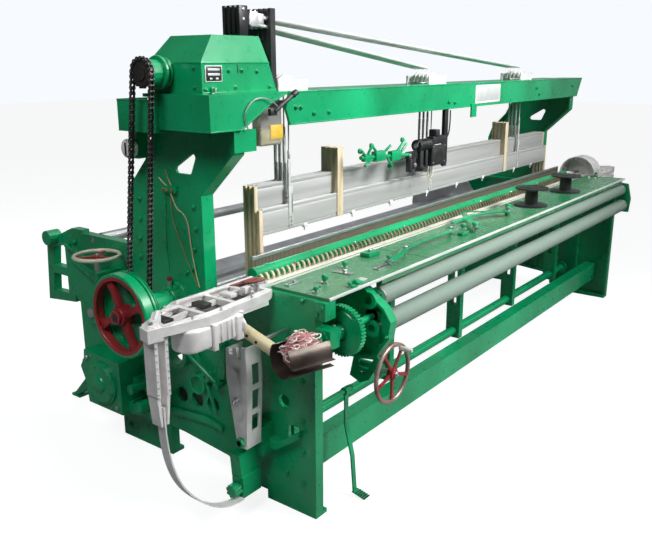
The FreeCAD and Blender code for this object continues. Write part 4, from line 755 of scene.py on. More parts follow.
# %% Thin pipes
def pipe(points, r, name, look):
    """A pipe, lead or strand through the points."""
    data = bpy.data.curves.new(name, "CURVE")
    data.dimensions = "3D"
    spline = data.splines.new("NURBS")
    spline.points.add(len(points) - 1)
    for spot, place in zip(spline.points, points):
        spot.co = (*at(*place), 1)
    spline.order_u = 3
    spline.use_endpoint_u = True
    data.resolution_u = 6
    data.bevel_depth = r / 1000
    data.bevel_resolution = 3
    data.use_fill_caps = True
    thing = bpy.data.objects.new(name, data)
    bpy.context.scene.collection.objects.link(thing)
    take(thing)
    bpy.ops.object.convert(target="MESH")
    piece = bpy.context.object
    piece.data.materials.clear()
    piece.data.materials.append(look)
    return piece


# %% Oil pipes and the feeler wire
oil_pipes = [pipe([(-9, 726, 1260), (-9, 706, 1215), (-9, 690, 1190)], 3.0, "pipe_a", brass),
             pipe([(-9, 765, 1226), (-11, 738, 1205), (-11, 710, 1196), (-9, 695, 1160), (-9, 672, 1110),
                   (-9, 634, 1098), (-9, 610, 1060), (-9, 605, 1000), (-9, 592, 922), (-12, 576, 860), (-9, 565, 812)],
                  2.6, "pipe_b", cream),
             pipe([(-9, 700, 1186), (-10, 704, 1118), (-10, 690, 1050), (-9, 662, 980), (-9, 620, 900), (-9, 575, 815)],
                  2.2, "pipe_c", brass),
             pipe([(-9, 730, 1180), (-10, 735, 1120), (-9, 742, 1060), (-9, 748, 950), (-9, 738, 850)], 2.2, "pipe_d",
                  paint)]
oil_block = [block(-16, 0.5, 668, 748, 1172, 1198, paint, 3)]
oil_block += [round_bar((-16, y, 1185), (-25, y, 1185), 7, brass, 6, 1) for y in (682, 708, 734)]
fused(oil_block + oil_pipes, "oil_pipes")
feeler = pipe([(60, 343, 1426), (30, 340, 1470), (70, 336, 1526), (130, 334, 1538), (190, 334, 1520), (222, 336, 1494)],
              2.4, "feeler_wire", steel)
fused([feeler], "feeler_wire", "loom")
print("pipes", len(oil_pipes))

# %% [markdown]
# ## The oil bottle
# A clear bottle hangs under the beam's left end. Clear plastic needs a real wall and thickness, so the body is a
# rounded block with a transmitting shader, an oil level inside, a yellow label and a black clamp.

# %% Oil bottle
glass = block(160, 284, 374, 422, 1354, 1497, clear_plastic, 9, 3)
oil = block(164, 280, 378, 418, 1358, 1420, cream, 7, 3)
label = block(214, 285.2, 372.8, 392, 1378, 1430, yellow_look, 0.8)
cap = block(154, 290, 371, 429, 1497, 1520, black_paint, 4, 3)
cap_knob = round_bar((258, 398, 1519), (258, 398, 1538), 13, yellow_look, 20, 3)
hook = [block(186, 256, 392, 404, 1519, 1540, black_paint, 2), block(120, 176, 372, 384, 1480, 1506, black_paint, 4)]
fused([glass, oil, label, cap, cap_knob] + hook, "oil_bottle_dressed", "loom", ("oil_bottle",))

# %% [markdown]
# ## The overhead beam
# A long pressed channel. Its face carries bolts where the bearers join it, and one large bare plate. The folded
# edges are thin strips laid on the face, which catch the light as a bend does.

# %% Beam bolts and plate
bolt_rows([(344, 356, 1491), (372, 356, 1489), (456, 356, 1463), (555, 356, 1463), (1581, 356, 1461),
           (1647, 356, 1455), (2745, 356, 1500), (2790, 356, 1462), (3390, 356, 1500)], (0, -1, 0), "beam_bolts", paint,
          8)
beam_plate = [block(1880, 2196, 353, 356.5, 1440, 1538, white_look, 1.5),
              block(1892, 2184, 352.2, 354, 1452, 1526, pale_plate, 1)]
fused(beam_plate, "beam_plate", "loom")
edges = [block(330, 3500, 354.6, 357, 1425, 1431, paint, 0.8), block(320, 3570, 354.6, 357, 1546, 1552, paint, 0.8)]
fused(edges, "beam_beads")
print("beam dressed")

# %% [markdown]
# ## Heald frames
# Four frames stand one behind the other. Each has hollow aluminium rails with a drawn groove near the lower edge,
# wooden end staves, two wooden struts, white rider clips under the rail, and silver hangers with a turnbuckle. The
# front frame is down and the other three are up, so its struts are longer and a plain copy wouldn't do. One function
# sets out all four, each from its own middle and its own height.

# %% Four heald frames
HEALD_LEFT, HEALD_RIGHT = 238.0, 3228.0
HANGERS = (420.0, 1590.0, 2745.0)
FRONT_RAIL, RISE = 986.0, 94            # underside of the front frame's upper rail, and how far the others are up
RAIL_GAP = 346                          # from the lower rail's underside to the upper one's
STRUT_TOP = 1296
ROD_TOP = 1530                          # where a raised frame's rod meets its quadrant


def heald_parts(y, low, back_row):
    front, rear = y - 6.0, y + 6.0
    section = [(front, low), (front, low + 9), (front + 2.4, low + 10.5), (front + 2.4, low + 15),
               (front, low + 16.5), (front, low + 88), (front + 1.2, low + 91), (front, low + 94),
               (front + 0.4, low + 104), (front + 4, low + 108), (rear - 4, low + 108), (rear, low + 104),
               (rear, low + 16), (rear - 2, low + 12), (rear, low)]
    foot = [(a, low - RAIL_GAP + (b - low) * 60 / 108) for a, b in section]
    metal = [cut_plate(outline, "x", HEALD_LEFT + 8, HEALD_RIGHT - 8, rail_look, 0) for outline in (section, foot)]
    timber = []
    for x in (HEALD_LEFT - 14, HEALD_RIGHT - 8):
        timber.append(block(x, x + 22, front - 0.8, rear + 0.8, low - RAIL_GAP, low + 105, wood, 2.5, 3))
    for x in (742.0, 2520.0):
        bottom = low + 4 if back_row else low
        timber.append(block(x, x + 44, front - 5, front - 0.2, bottom, STRUT_TOP, wood, 2.2, 2))
        timber.append(block(x, x + 44, rear + 0.2, rear + 5, bottom, STRUT_TOP, wood, 2.2, 2))
        timber.append(block(x + 2, x + 42, front + 0.5, rear - 0.5, low + 106, STRUT_TOP - 2, wood, 1.5, 2))
    clips = []
    for x in (518, 874, 1203, 1560, 1900, 2240, 2700, 2980):
        clips.append(block(x - 13, x + 13, front - 0.8, rear + 0.8, low - 9, low + 9, clip_look, 2, 2))
        clips.append(block(x - 4.5, x + 4.5, y - 3, y + 3, low - 24, low - 8, clip_look, 1.5))
    hangers = []
    rod_top = ROD_TOP if back_row else ROD_TOP - RISE
    for x in HANGERS:
        hangers.append(block(x - 14, x + 14, front - 2.4, front - 0.2, low + 6, low + 180, rod_look, 0.9))
        hangers.append(block(x - 8, x + 8, y - 3.6, y + 3.6, low + 106, low + 290, rod_look, 1.5))
        hangers.append(round_bar((x, y, low + 286), (x, y, rod_top), 3.2, rod_look, 10, 0.6))
        hangers.append(round_bar((x, y, low + 292), (x, y, low + 326), 6.5, rod_look, 6, 1))
        hangers += [round_bar((x, front - 5, low + h), (x, front - 1, low + h), 5.5, steel, 10, 0.8)
                    for h in (18, 34, 52)]
        hangers.append(block(x + 4, x + 11, front - 3.2, front - 1, low + 66, low + 150, steel, 0.6))
    return metal + timber + clips + hangers


for n in range(FRAMES):
    row = heald_parts(HEALD_Y + HEALD_PITCH * n, FRONT_RAIL + (RISE if n else 0), n > 0)
    fused(row, f"heald_{n + 1}_dressed", f"heald_{n + 1}", (f"heald_frame_{n + 1}",))

# %% [markdown]
# ## Quadrants
# Over each row of hangers stand four white quadrants, which turn the pull of the rods downwards. They are cut plates
# at the frames' pitch with a steel boss in each, and those over one row are one piece.

# %% Quadrant faces and bosses
for place, x in enumerate(HANGERS):
    wheels = []
    for n in range(FRAMES):
        y = HEALD_Y + HEALD_PITCH * n
        wheels.append(round_bar((x - 4, y - 6.2, 1575), (x - 4, y + 6.2, 1575), 15, steel, 20, 1))
        wheels.append(cut_plate([(x - 72, 1564), (x - 64, 1592), (x - 30, 1609), (x + 18, 1602), (x + 54, 1564),
                                 (x + 40, 1564), (x + 14, 1592), (x - 28, 1598), (x - 54, 1586), (x - 60, 1564)],
                                "y", y - 5.8, y + 5.8, white_look, 0.6))
    fused(wheels, f"quadrant_faces_{place + 1}", "loom")
print("quadrants", FRAMES * len(HANGERS))

# %% [markdown]
# ## Sley: race, guide hooks and reed
# The guide hooks hold the tape against the race as it crosses the loom. There are a hundred and more of them, so
# each is one thin plate in the shape of a hook, with few faces, and an Array modifier sets out the row. The race in
# front of them is polished by the tape, and its joints show as thin steps.

# %% Guide hooks
HOOKS, HOOK_STEP = 105, 0.03146          # how many, and the way to the next in metres
hook_shape = [(318, 850), (316.5, 862), (319.5, 873), (326, 881), (333, 884), (334.5, 880), (329, 877), (324, 870),
              (322, 861), (324, 854), (336, 852), (336, 850)]
hook = cut_plate(hook_shape, "x", 84, 95, brown, 0)
row = hook.modifiers.new("row", "ARRAY")
row.count = HOOKS
row.use_relative_offset = False
row.use_constant_offset = True
row.constant_offset_displace = (HOOK_STEP, 0, 0)
take(hook)
bpy.ops.object.modifier_apply(modifier="row")
bar = block(80, 3386, 316.8, 337, 848.4, 853.4, brown, 1)
fused([hook, bar], "hook_row", "sley", ("guide_hooks",))
print("hooks", HOOKS)

# %% [markdown]
# ## Race and reed
# The race is laid in eight lengths. Every second one stands a hair higher, which is enough to show the joints as
# thin steps. The reed sits between two steel ribs, and green caps and clamps hold the sley.

# %% Race strip and the reed's ribs
RACE_LEFT, RACE_LENGTH = 76, 414
race = [block(RACE_LEFT + RACE_LENGTH * i + 1, RACE_LEFT + RACE_LENGTH * (i + 1) - 1, 287.4, 315.4, 852,
              857.5 if i % 2 else 856.8, race_look, 1.2) for i in range(8)]
race.append(block(76, 3390, 286.6, 290, 836, 850, race_look, 0.8))
fused(race, "race_strip", "sley")
ribs = [block(114, 3352, 394.6, 409.4, 920.4, 935.4, steel, 2), block(114, 3352, 394.6, 397, 849, 866, steel, 1)]
ribs += [round_bar((x, 338, 866), (x, 338, 890), 5, steel, 6, 0.8) for x in range(300, 3300, 420)]
fused(ribs, "reed_ribs", "sley")
caps = [turned([(-5, 0), (-5, 22), (-2, 25.2), (10, 25.4), (10, 24)], (x, 362, 880), "x", paint, 32)
        for x in (81, 3376)]
shaped = [block(x - 16, x + 16, 352, 372, 856, 905.5, paint, 3) for x in (160, 900, 1733, 2560, 3310)]
fused(caps + shaped, "cap_clamps", "sley")
print("race", len(race), "strips")

# %% [markdown]
# ## The rapier unit
# A steel tape carries the weft through the shed. It leaves the race through an open guide, goes round a wheel in a
# cast housing, and comes down in a riveted channel. The castings are bare aluminium, so their edges are soft and
# their faces show a fine grain. The housing is modelled again here with the round edges of a casting.

# %% Wheel housing
drum = cut_plate([(-445, 222), (-445, 190), (-436, 166), (-412, 151), (-340, 150), (-340, 263), (-412, 262),
                  (-436, 248)], "z", 763, 842, cast_look, 12, 4)
flange = block(-342, -321, 143, 271, 751, 842, cast_look, 4, 3)
neck = block(-323, -227, 155, 257, 765, 842, cast_look, 7, 3)
end = block(-230, -197, 147, 263, 753, 842, cast_look, 6, 3)
ribs = [block(x, x + 6, 150, 160, 768, 836, cast_look, 2) for x in (-300, -272, -250)]
clasp = [hoop((-200, 168, 800), "x", 26, 6.5, cast_look, 40, 10), block(-203, -186, 155, 180, 842, 848, cast_look, 2),
         round_bar((-345, 160, 836), (-345, 160, 756), 4, steel, 10, 1),
         round_bar((-196, 214, 762), (-184, 214, 762), 9, paint, 6, 1.5)]
fused([drum, flange, neck, end] + ribs + clasp, "wheel_housing", "loom", ("left_rapier_housing",))

# %% [markdown]
# ## Fittings on the guides
# The open guide is a cast frame with ribs, hexagon screws, a clamp and pockets, whose dark floor is painted shade.
# The floor is cut as five thin plates, since one plate alone would leave the pockets' own floors bright.

# %% Fittings on the open guide
GUIDE_TOP = 871
guide = [block(-330, 50, 330, 344, GUIDE_TOP, 884, cast_look, 2),
         block(-420, -340, 300, 314, GUIDE_TOP, 881, cast_look, 2),
         cut_plate([(-540, 196), (-330, 168), (-36, 188), (-36, 196), (-330, 178), (-540, 206)], "z", GUIDE_TOP, 880,
                   cast_look, 1.5),
         block(-470, -438, 222, 300, 868, 878, dark_steel, 2), block(-300, -262, 232, 292, 866, 882, dark_steel, 2),
         block(-160, -128, 244, 300, 866, 880, cast_look, 2), block(-96, -60, 236, 262, 868, 890, cast_look, 2),
         round_bar((-536, 214, 872), (-536, 214, 892), 8, steel, 12, 1.5),
         round_bar((-500, 240, 884), (-440, 300, 884), 6, cast_look, 12, 1.5),
         cut_plate([(-556, 206), (-520, 196), (-438, 300), (-452, 310)], "z", 876, 885.5, cast_look, 2.5, 2)]
guide += [round_bar((x, y, GUIDE_TOP), (x, y, GUIDE_TOP + 10), 6.5, steel, 6, 1)
          for x, y in ((-380, 336), (-250, 352), (-130, 354), (-10, 356), (-280, 170), (-120, 182), (-400, 180),
                       (40, 262))]
guide += [round_bar((-60, 214, 866), (-60, 214, 902), 9, steel, 12, 2),
          round_bar((-60, 214, 890), (-60, 246, 890), 4, steel, 10, 0)]
fused(guide, "guide_fittings", "loom")
print("guide fittings", len(guide))

# %% Painted shade in the pockets, red tongue and channel rivets
# Dark plates under and in the pockets: painted shade in the recesses.
pocket_shade_plate = cut_plate([(-490, 222), (-330, 192), (30, 206), (30, 330), (-330, 330), (-430, 290)], "z", 844, 848,
                        dark_steel, 0)
pockets = [[(-483, 219), (-461, 268), (-348, 320), (-348, 180)], [(-322, 180), (-322, 330), (-203, 334), (-203, 188)],
           [(-177, 190), (-177, 334), (-77, 336), (-77, 200)],
           [(-51, 204), (-51, 336), (27, 336), (27, 266), (-19, 266), (-19, 206)]]
pocket_shade_liners = [cut_plate(points, "z", 849.6, 852, dark_steel, 0) for points in pockets]
fused([pocket_shade_plate] + pocket_shade_liners, "guide_pocket_shade", "loom")
tongue = [cut_plate([(-96, 336), (-20, 306), (50, 276), (72, 284), (73, 300), (40, 330), (-20, 346), (-90, 350)],
                    "z", 873, 877, rust_look, 1), block(-30, 40, 300, 318, 876, 884, rust_look, 2)]
for thing in tongue:
    thing.location.z += 0.004
fused(tongue, "red_tongue", "loom")
rivets = [round_bar((x, 197.5, z), (x, 200.5, z), 3.4, steel, 10, 0.8)
          for x in (-535, -491) for z in range(656, 830, 22)]
rivets += [block(-541, -485, 198.6, 201, 826, 834, steel, 0.8), block(-541, -534, 198.8, 248, 640, 646, steel, 0.8)]
fused(rivets, "channel_rivets", "loom")
print("rivets and edges", len(rivets))

# %% [markdown]
# ## Far guide
# The guide at the far end is the near one seen in a mirror, with fewer fittings that show. Its places are counted
# outwards from the far side frame's face.

# %% Far guide
far = [block(FAR_FACE - 50, FAR_FACE + 330, 330, 344, GUIDE_TOP, 884, cast_look, 2),
       cut_plate([(FAR_FACE + x, y) for x, y in ((540, 196), (330, 168), (36, 188), (36, 196), (330, 178), (540, 206))],
                 "z", GUIDE_TOP, 880, cast_look, 1.5)]
far += [round_bar((FAR_FACE - x, y, GUIDE_TOP), (FAR_FACE - x, y, GUIDE_TOP + 10), 6.5, steel, 6, 1)
        for x, y in ((-380, 336), (-250, 352), (-130, 354), (-10, 356), (-280, 170), (-400, 180))]
fused(far, "far_guide_fittings", "loom")
print("far guide dressed")

# %% [markdown]
# ## Swing lever
# The lever is a web with round-ended slots. Its casting bead runs round each opening, so thin bars are laid round the
# slots, and the clamp bolt gets a washer and a nut.

# %% Beads and clamp of the swing lever
beads = [cut_plate([(187, 558), (210, 296), (217, 296), (195, 560), (201, 680), (194, 686)], "x", -152, -148, cast_look,
                   1),
         cut_plate([(284, 556), (242, 294), (248, 294), (292, 558), (290, 668), (283, 664)], "x", -152, -148, cast_look,
                   1),
         cut_plate([(211, 424), (230, 409), (249, 424), (267, 592), (246, 606), (227, 592)], "x", -163, -159.5,
                   cast_look, 0.8)]
bolt = [round_bar((-170, 233, 480), (-159, 233, 480), 17, steel, 20, 1),
        round_bar((-178, 233, 480), (-167, 233, 480), 13, steel, 6, 2),
        round_bar((-184, 233, 480), (-176, 233, 480), 6, steel, 12, 1),
        round_bar((-168, 225, 316), (-158, 225, 316), 14, steel, 6, 1.5)]
# The dark plate in the middle slot is painted shade.
slot_shade = cut_plate([(224, 432), (236, 432), (252, 576), (239, 576)], "x", -158, -150.5, dark_steel, 0)
fused(beads[:2] + bolt, "lever_beads", "rapier_swing")
fused([beads[2]], "lever_slot_bead", "rapier_swing")
fused([slot_shade], "lever_slot_shade", "rapier_swing")

# %% [markdown]
# ## Selvedge waste
# The cream tube blows the cut selvedge into an open sheet-steel holder, where it lies as a tangled heap. The tube
# and the holder are replaced by smoother ones of the same size. The heap is a displaced, folded mass with loose
# curls of yarn on it, fuller than the plain heap in the solids.

# %% Suction tube
start, finish = Vector((-168, 206, 778)), Vector((-145, 60, 712))
way = (finish - start).normalized()
tube = round_bar(start, finish, 23, cream, 48, 1.2)
# The cut walls take the drills' black enamel: painted shade inside the tube's end and its holes.
drills = [round_bar(finish - way * 34, finish + way * 10, 19.8, black_paint, 40, 0)]
for share in (0.30, 0.55):
    spot = start + (finish - start) * share
    drills.append(round_bar(spot + Vector((-40, -18, -2)), spot + Vector((-4, -2, -2)), 5.4, black_paint, 20, 0))
for drill in drills:
    hole = tube.modifiers.new("hole", "BOOLEAN")
    hole.operation = "DIFFERENCE"
    hole.object = drill
    hole.material_mode = "TRANSFER"
    take(tube)
    bpy.ops.object.modifier_apply(modifier="hole")
    bpy.data.objects.remove(drill)
cuffs = [round_bar(start - way * 3, start + way * 9, 25.2, cast_look, 40, 1.5)]
stay = block(-134, 0, 112, 124, 732, 744, steel, 1.5)
fused([tube, stay] + cuffs, "selvedge_tube", "loom", ("suction_tube",))

# %% [markdown]
# ## The open holder
# A sheet-steel cylinder, 3 mm thick, that is open on top. Two arcs of one outline are pushed along its length, and
# the whole is turned a little on its stay, as the real one stands.

# %% Open holder
middle = Vector((-120.0, -36.0, 712.0))
OUT, IN = 64.0, 61.0


def arc(r, first, last, steps):
    angles = [math.radians(first + (last - first) * i / steps) for i in range(steps + 1)]
    return [(middle.y + r * math.cos(a), middle.z + r * math.sin(a)) for a in angles]


def trough(first, last, steps):
    return arc(OUT, first, last, steps) + arc(IN, last, first, steps)


x0, x1 = middle.x - 84, middle.x + 84
shells = [cut_plate(trough(46.0, -148.0, 28), "x", x0, x1, sheet_look, 0),
          cut_plate(trough(191.0, 134.0, 8), "x", x0, x1, sheet_look, 0),
          block(x0, x1, middle.y - OUT - 16, middle.y - 52, middle.z - 12, middle.z - 9, sheet_look, 0.8),
          block(x0, x1, middle.y - OUT - 8, middle.y - 50, middle.z - 37, middle.z - 34, sheet_look, 0.8)]
HOLDER_TURN = -16
swung(shells, HOLDER_TURN, middle, "Z")
shells.append(round_bar((-70, 11, 718), (0, 11, 718), 7, steel, 20, 1))
fused(shells, "open_holder", "loom", ("waste_holder",))

# %% [markdown]
# ## Tangled yarn
# Yarn that lies in a heap is too loose for a plain solid. A displaced ball fills the holder, in a dark rose that is
# painted shade deep in the heap, and curls of yarn lie on it: each is a pipe through seven points that walk round with
# a chance step. The seed keeps the heap the same on every run.

# %% Tangled yarn
CURLS, CURL_POINTS = 110, 7
random.seed(7)
deselect()
bpy.ops.mesh.primitive_ico_sphere_add(subdivisions=5, radius=1, location=at(middle.x, middle.y, middle.z + 12),
                                      scale=(0.070, 0.038, 0.066))
heap = bpy.context.object
bpy.ops.object.transform_apply(location=False, rotation=False, scale=True)
lumps = bpy.data.textures.new("lumps", "CLOUDS")
lumps.noise_scale = 0.022
swell = heap.modifiers.new("swell", "DISPLACE")
swell.texture = lumps
swell.strength = 0.014
swell.mid_level = 0.6
take(heap)
bpy.ops.object.modifier_apply(modifier="swell")
# The ball's dark rose is painted shade deep in the heap.
heap.data.materials.append(rose_yarn_and_shade)
curls = [heap]
for i in range(CURLS):
    a = random.uniform(0, 2 * math.pi)
    lift = random.uniform(-0.1, 1.0)
    side = math.sqrt(max(0.05, 1 - lift * lift))
    spot = Vector((64 * side * math.cos(a), 32 * side * math.sin(a), 12 + 62 * lift))
    points = []
    heading, r = random.uniform(0, 6.28), random.uniform(9, 22)
    for k in range(CURL_POINTS):
        heading += random.uniform(0.6, 1.3)
        step = Vector((r * 0.75 * math.cos(heading), r * 0.5 * math.sin(heading), random.uniform(-7, 7)))
        spot = spot + step
        spot.x = max(-72, min(70, spot.x))
        spot.y = max(-38, min(38, spot.y))
        spot.z = max(-20, min(86, spot.z))
        points.append((middle.x + spot.x, middle.y + spot.y, middle.z + spot.z))
    curls.append(pipe(points, random.uniform(1.3, 2.4), "curl",
                      random.choice([yarn_look, yarn_pale, yarn_pale, rose_yarn_and_shade])))
swung(curls, HOLDER_TURN, middle, "Z")
fused(curls, "yarn_tangle", "loom", ("selvedge_waste",), 60)
print("curls", len(curls) - 1)

# %% [markdown]
# ## Take-up and let-off
# The weaver turns the cloth on by a small wheel with a rim that hands have worn, red arms and a pale handle. Its rim
# and hub are turned, and one arm is cut and copied round the hub.

# %% Handwheel facing the weaver
def wheel_arm(x, z, inner, outer, wide, narrow, y0, y1, look):
    return cut_plate([(x + inner, z - wide), (x + (inner + outer) / 2, z - narrow), (x + outer, z - wide),
                      (x + outer, z + wide), (x + (inner + outer) / 2, z + narrow), (x + inner, z + wide)],
                     "y", y0, y1, look, 2.5, 2)


hand_x, hand_z = 337, 506
hand_middle = (hand_x, -112, hand_z)
rim = turned([(-7, 108), (-7, 118), (-4, 122), (4, 122), (7, 118), (7, 108), (4, 105.5), (-4, 105.5), (-7, 108)],
             hand_middle, "y", rim_look, 72)
arm = wheel_arm(hand_x, hand_z, 14, 109, 9, 6, -116.5, -107.5, red_paint)
arms = swung(spun_copies(arm, 5, hand_middle, "y"), 20, hand_middle, "Y")
hub = turned([(-14, 0), (-14, 17), (-11, 22), (10, 22), (16, 18), (16, 13.5)], hand_middle, "y", red_paint, 32)
nut = round_bar((hand_x, -134, hand_z), (hand_x, -125, hand_z), 12, steel, 6, 1.5)
stud = round_bar((hand_x, -138, hand_z), (hand_x, -132, hand_z), 7, steel, 16, 1)
[(out, up)] = on_circle(102, [math.radians(62)])
handle = turned([(0, 7), (-8, 9.5), (-30, 10.5), (-52, 9), (-57, 6), (-58, 0)], (hand_x + out, -112, hand_z + up), "y",
                pale_grey, 24)
shaft = round_bar((hand_x, -96, hand_z), (hand_x, -60, hand_z), 13, steel, 24, 0)
back = round_bar((hand_x, -60, hand_z), (hand_x, 46, hand_z), 12.9, steel, 24, 1)
fused([rim, hub, nut, stud, handle, shaft, back] + arms, "hand_wheel", "take_up_wheel",
      ("take_up_handwheel",))

# %% [markdown]
# ## The let-off's flat wheel
# A cream-enamelled wheel lies flat on an upright stem at the back. Its rim is a plain hoop, since it is bent from round
# bar and not turned.

# %% Small flat wheel at the back
off_x, off_y = -101, 1082
off_middle = (off_x, off_y, 880)
rim = hoop(off_middle, "z", 93.5, 8.2, cream_enamel, 72, 14)
arm = cut_plate([(off_x + x, off_y + y) for x, y in ((12, -11), (50, -8), (94, -12), (94, 12), (50, 8), (12, 11))],
                "z", 874.5, 881, red_paint, 2, 2)
arms = swung(spun_copies(arm, 3, off_middle, "z"), 35, off_middle, "Z")
hub = turned([(-22, 14), (-22, 19), (-18, 22), (-2, 22), (2, 18), (2, 0)], off_middle, "z", red_paint, 32)
stem = turned([(-94, 0), (-94, 10), (-68, 10), (-68, 14), (-22, 14)], off_middle, "z", steel, 24)
nut = round_bar((off_x, off_y, 881), (off_x, off_y, 887.5), 9, steel, 6, 1.2)
fused([rim, hub, stem, nut] + arms, "let_off_wheel", "let_off_wheel", ("let_off_handwheel",))

# %% [markdown]
# ## Rollers' ends, gear and cheek
# The rollers have a fluted grip covering with a steel ring at each end, and the gear has a collar, a pin and a screw.
# The rings are turned, since a lathe made them, and they ride with the rollers they are pressed on.

# %% Rollers' ends, gear and cheek
UPPER_ROLL, LOWER_ROLL, GEAR = (-33, 797), (-50, 690), (-30, 728)     # their middles, as (y, z)
for name, body, (y, z), r in (("upper", "upper_roll", UPPER_ROLL, 37), ("lower", "lower_roll", LOWER_ROLL, 40)):
    ends = [turned([(-1.5, 14), (-1.5, r - 3), (1, r + 0.8), (9, r + 0.8), (9, r - 2)], (345, y, z), "x", steel, 40),
            turned([(1.5, 14), (1.5, r - 3), (-1, r + 0.8), (-9, r + 0.8), (-9, r - 2)], (3420, y, z), "x", steel, 40)]
    ends += [round_bar((341, y + dy, z + dz), (344.5, y + dy, z + dz), 4, dark_steel, 6, 0)
             for dy, dz in on_circle(22, (0.4, 2.5, 4.6))]
    fused(ends, f"{name}_roller_ends", body)
gear_middle = (108, *GEAR)
gear_bits = [turned([(0, 34), (-3, 36), (-3, 76), (0, 79), (4, 76), (4, 36), (0, 34)], gear_middle, "x", paint, 48),
             turned([(-46, 14), (-46, 26), (-42, 29), (-4, 29), (-1, 26)], gear_middle, "x", paint, 32),
             round_bar((84, -60, 750), (84, -42, 738), 5, steel, 10, 1),
             round_bar((70, -30, 756), (70, -30, 764), 7, steel, 6, 1)]
fused(gear_bits, "gear_collar", "take_up_train")
bolt_rows([(330, -78, 740), (330, -20, 770), (296, -111, 665), (296, 60, 840), (330, 20, 590), (330, -60, 612)],
          (-1, 0, 0), "cheek_bolts", paint, 8)
cheek = [turned([(0, 15.5), (0, 30), (-4, 33), (-12, 33), (-12, 15.5)], (296, *place), "x", paint, 32)
         for place in (UPPER_ROLL, LOWER_ROLL)]
cheek += [turned([(6, 14.5), (6, 26), (2, 30), (-6, 30), (-6, 14.5)], (318, *GEAR), "x", paint, 32),
          turned([(8, 13.6), (8, 24), (4, 27), (-2, 27), (-4, 24), (-4, 13.6)], (hand_x, -60, hand_z), "y", paint, 32)]
fused(cheek, "cheek_rings")
print("take-up dressed")

# %% [markdown]
# ## The weaver's side
# The breast plate has a pale front edge that is a painted highlight, threaded knobs, flat levers that swing over its
# top, and the long starting lever that curves out over the cloth. They are flat bars, so each is cut to its outline
# and its arrises are softened.

# %% Breast plate: painted highlight on the front edge, and seams
PLATE_TOP = 875
# The pale strips along the front edge are a painted highlight.
plate = [block(21, 3445, -52.6, -48.8, 865.6, 874.6, edge_highlight, 1.2, 2),
         block(21, 3445, -50, -44, 874.6, 875.6, edge_highlight, 0.4)]
fused(plate, "plate_edge", "loom")
seams = [block(x - 0.7, x + 0.7, -48, 214, 874.9, 875.7, dark_steel, 0) for x in (716, 1438, 2175, 2880)]
fused(seams, "plate_seams", "loom")
print("plate seams", len(seams))


# %% Threaded knobs and slotted bars
def knob(x, y, z, r=13, tall=34):
    """A turned green knob on a steel washer."""
    profile = [(6, r * 0.55), (10, r * 0.7), (16, r), (tall - 6, r), (tall - 1, r * 0.75), (tall, 0)]
    return [round_bar((x, y, z), (x, y, z + 6), r * 1.25, steel, 20, 1), turned(profile, (x, y, z), "z", paint, 24)]


def slotted(x, y, z, length, wide):
    """A slotted flat bar with its clamp screw: the slot is a darker strip of painted shade with the screw in it."""
    x0, x1 = x - length / 2, x + length / 2
    return [block(x0, x1, y - wide / 2, y + wide / 2, z, z + 4, steel, 1.2),
            block(x0 + 12, x1 - 12, y - wide / 7, y + wide / 7, z + 3.8, z + 4.4, dark_steel, 0),
            round_bar((x + length / 6, y, z + 4), (x + length / 6, y, z + 11), wide * 0.3, steel, 6, 1)]


bits = knob(165, 80, PLATE_TOP) + knob(378, 144, PLATE_TOP, 12, 30) + knob(48, 30, PLATE_TOP, 11, 26)
bits += slotted(500, 30, PLATE_TOP, 150, 30) + slotted(86, 170, PLATE_TOP, 70, 26)
bits += [block(300, 330, 60, 150, PLATE_TOP, 879, steel, 1.2),
         round_bar((315, 100, 878), (315, 100, 890), 9, steel, 6, 1.5),
         block(236, 296, -20, 10, PLATE_TOP, 880, pale_plate, 1.5), block(560, 640, 150, 200, PLATE_TOP, 893, paint, 4),
         round_bar((600, 175, 893), (600, 175, 902), 9, steel, 6, 1.2)]
fused(bits, "plate_fittings", "loom")
print("plate fittings", len(bits))

# %% [markdown]
# ## Long levers over the plate
# Flat bars with gentle curves that stand clear of the plate on turned posts. An outline with a few more points where
# it bends gives the curve, and a two-step bevel softens the arrises as wear does.

# %% Long levers over the plate
LEVER_TOP = 902
levers = [cut_plate([(468, 0), (500, -8), (600, 14), (720, 56), (900, 66), (1100, 60), (1180, 90), (1178, 122),
                     (1090, 92), (900, 98), (716, 86), (590, 44), (496, 22), (470, 20)], "z", 896, LEVER_TOP, paint,
                    2.2, 2),
          cut_plate([(1242, 2), (1268, -8), (1290, 10), (1480, 160), (1556, 214), (1560, 240), (1536, 238), (1460, 182),
                     (1262, 34)], "z", 896, LEVER_TOP, paint, 2.2, 2),
          cut_plate([(1540, 240), (1566, 234), (1690, 60), (1700, 30), (1676, 26), (1660, 48)], "z", 903, 908, paint, 2,
                    2)]
levers += knob(1251, 14, LEVER_TOP, 16, 28) + knob(1686, 41, 908, 12, 26) + knob(488, 8, LEVER_TOP, 12, 24)
levers += knob(210, -30, PLATE_TOP, 13, 24) + knob(178, -22, PLATE_TOP, 9, 20)
levers += [block(172, 250, -40, -20, 876, 884, paint, 2.5), block(196, 226, -46, -10, 884, 892, paint, 3)]
levers += knob(1180, 40, LEVER_TOP, 14, 30) + [block(1150, 1215, 26, 54, 876, 890, paint, 3)]
levers += [round_bar((x, y, foot), (x, y, 904), 9, steel, 20, 1.5)
           for x, y, foot in ((1177, 106, 870), (712, 72, 870), (1255, 14, 870), (1550, 222, 897))]
levers += [round_bar((x, y, 903), (x, y, 909), 12, steel, 6, 1.5) for x, y in ((1177, 106), (712, 72))]
fused(levers, "plate_levers")
start = knob(1730, 60, 910, 16, 30) + [round_bar((1730, 60, 905), (1730, 60, 918), 19, steel, 24, 1.5)]
fused(start, "start_knob", "start")
print("lever parts", len(levers))

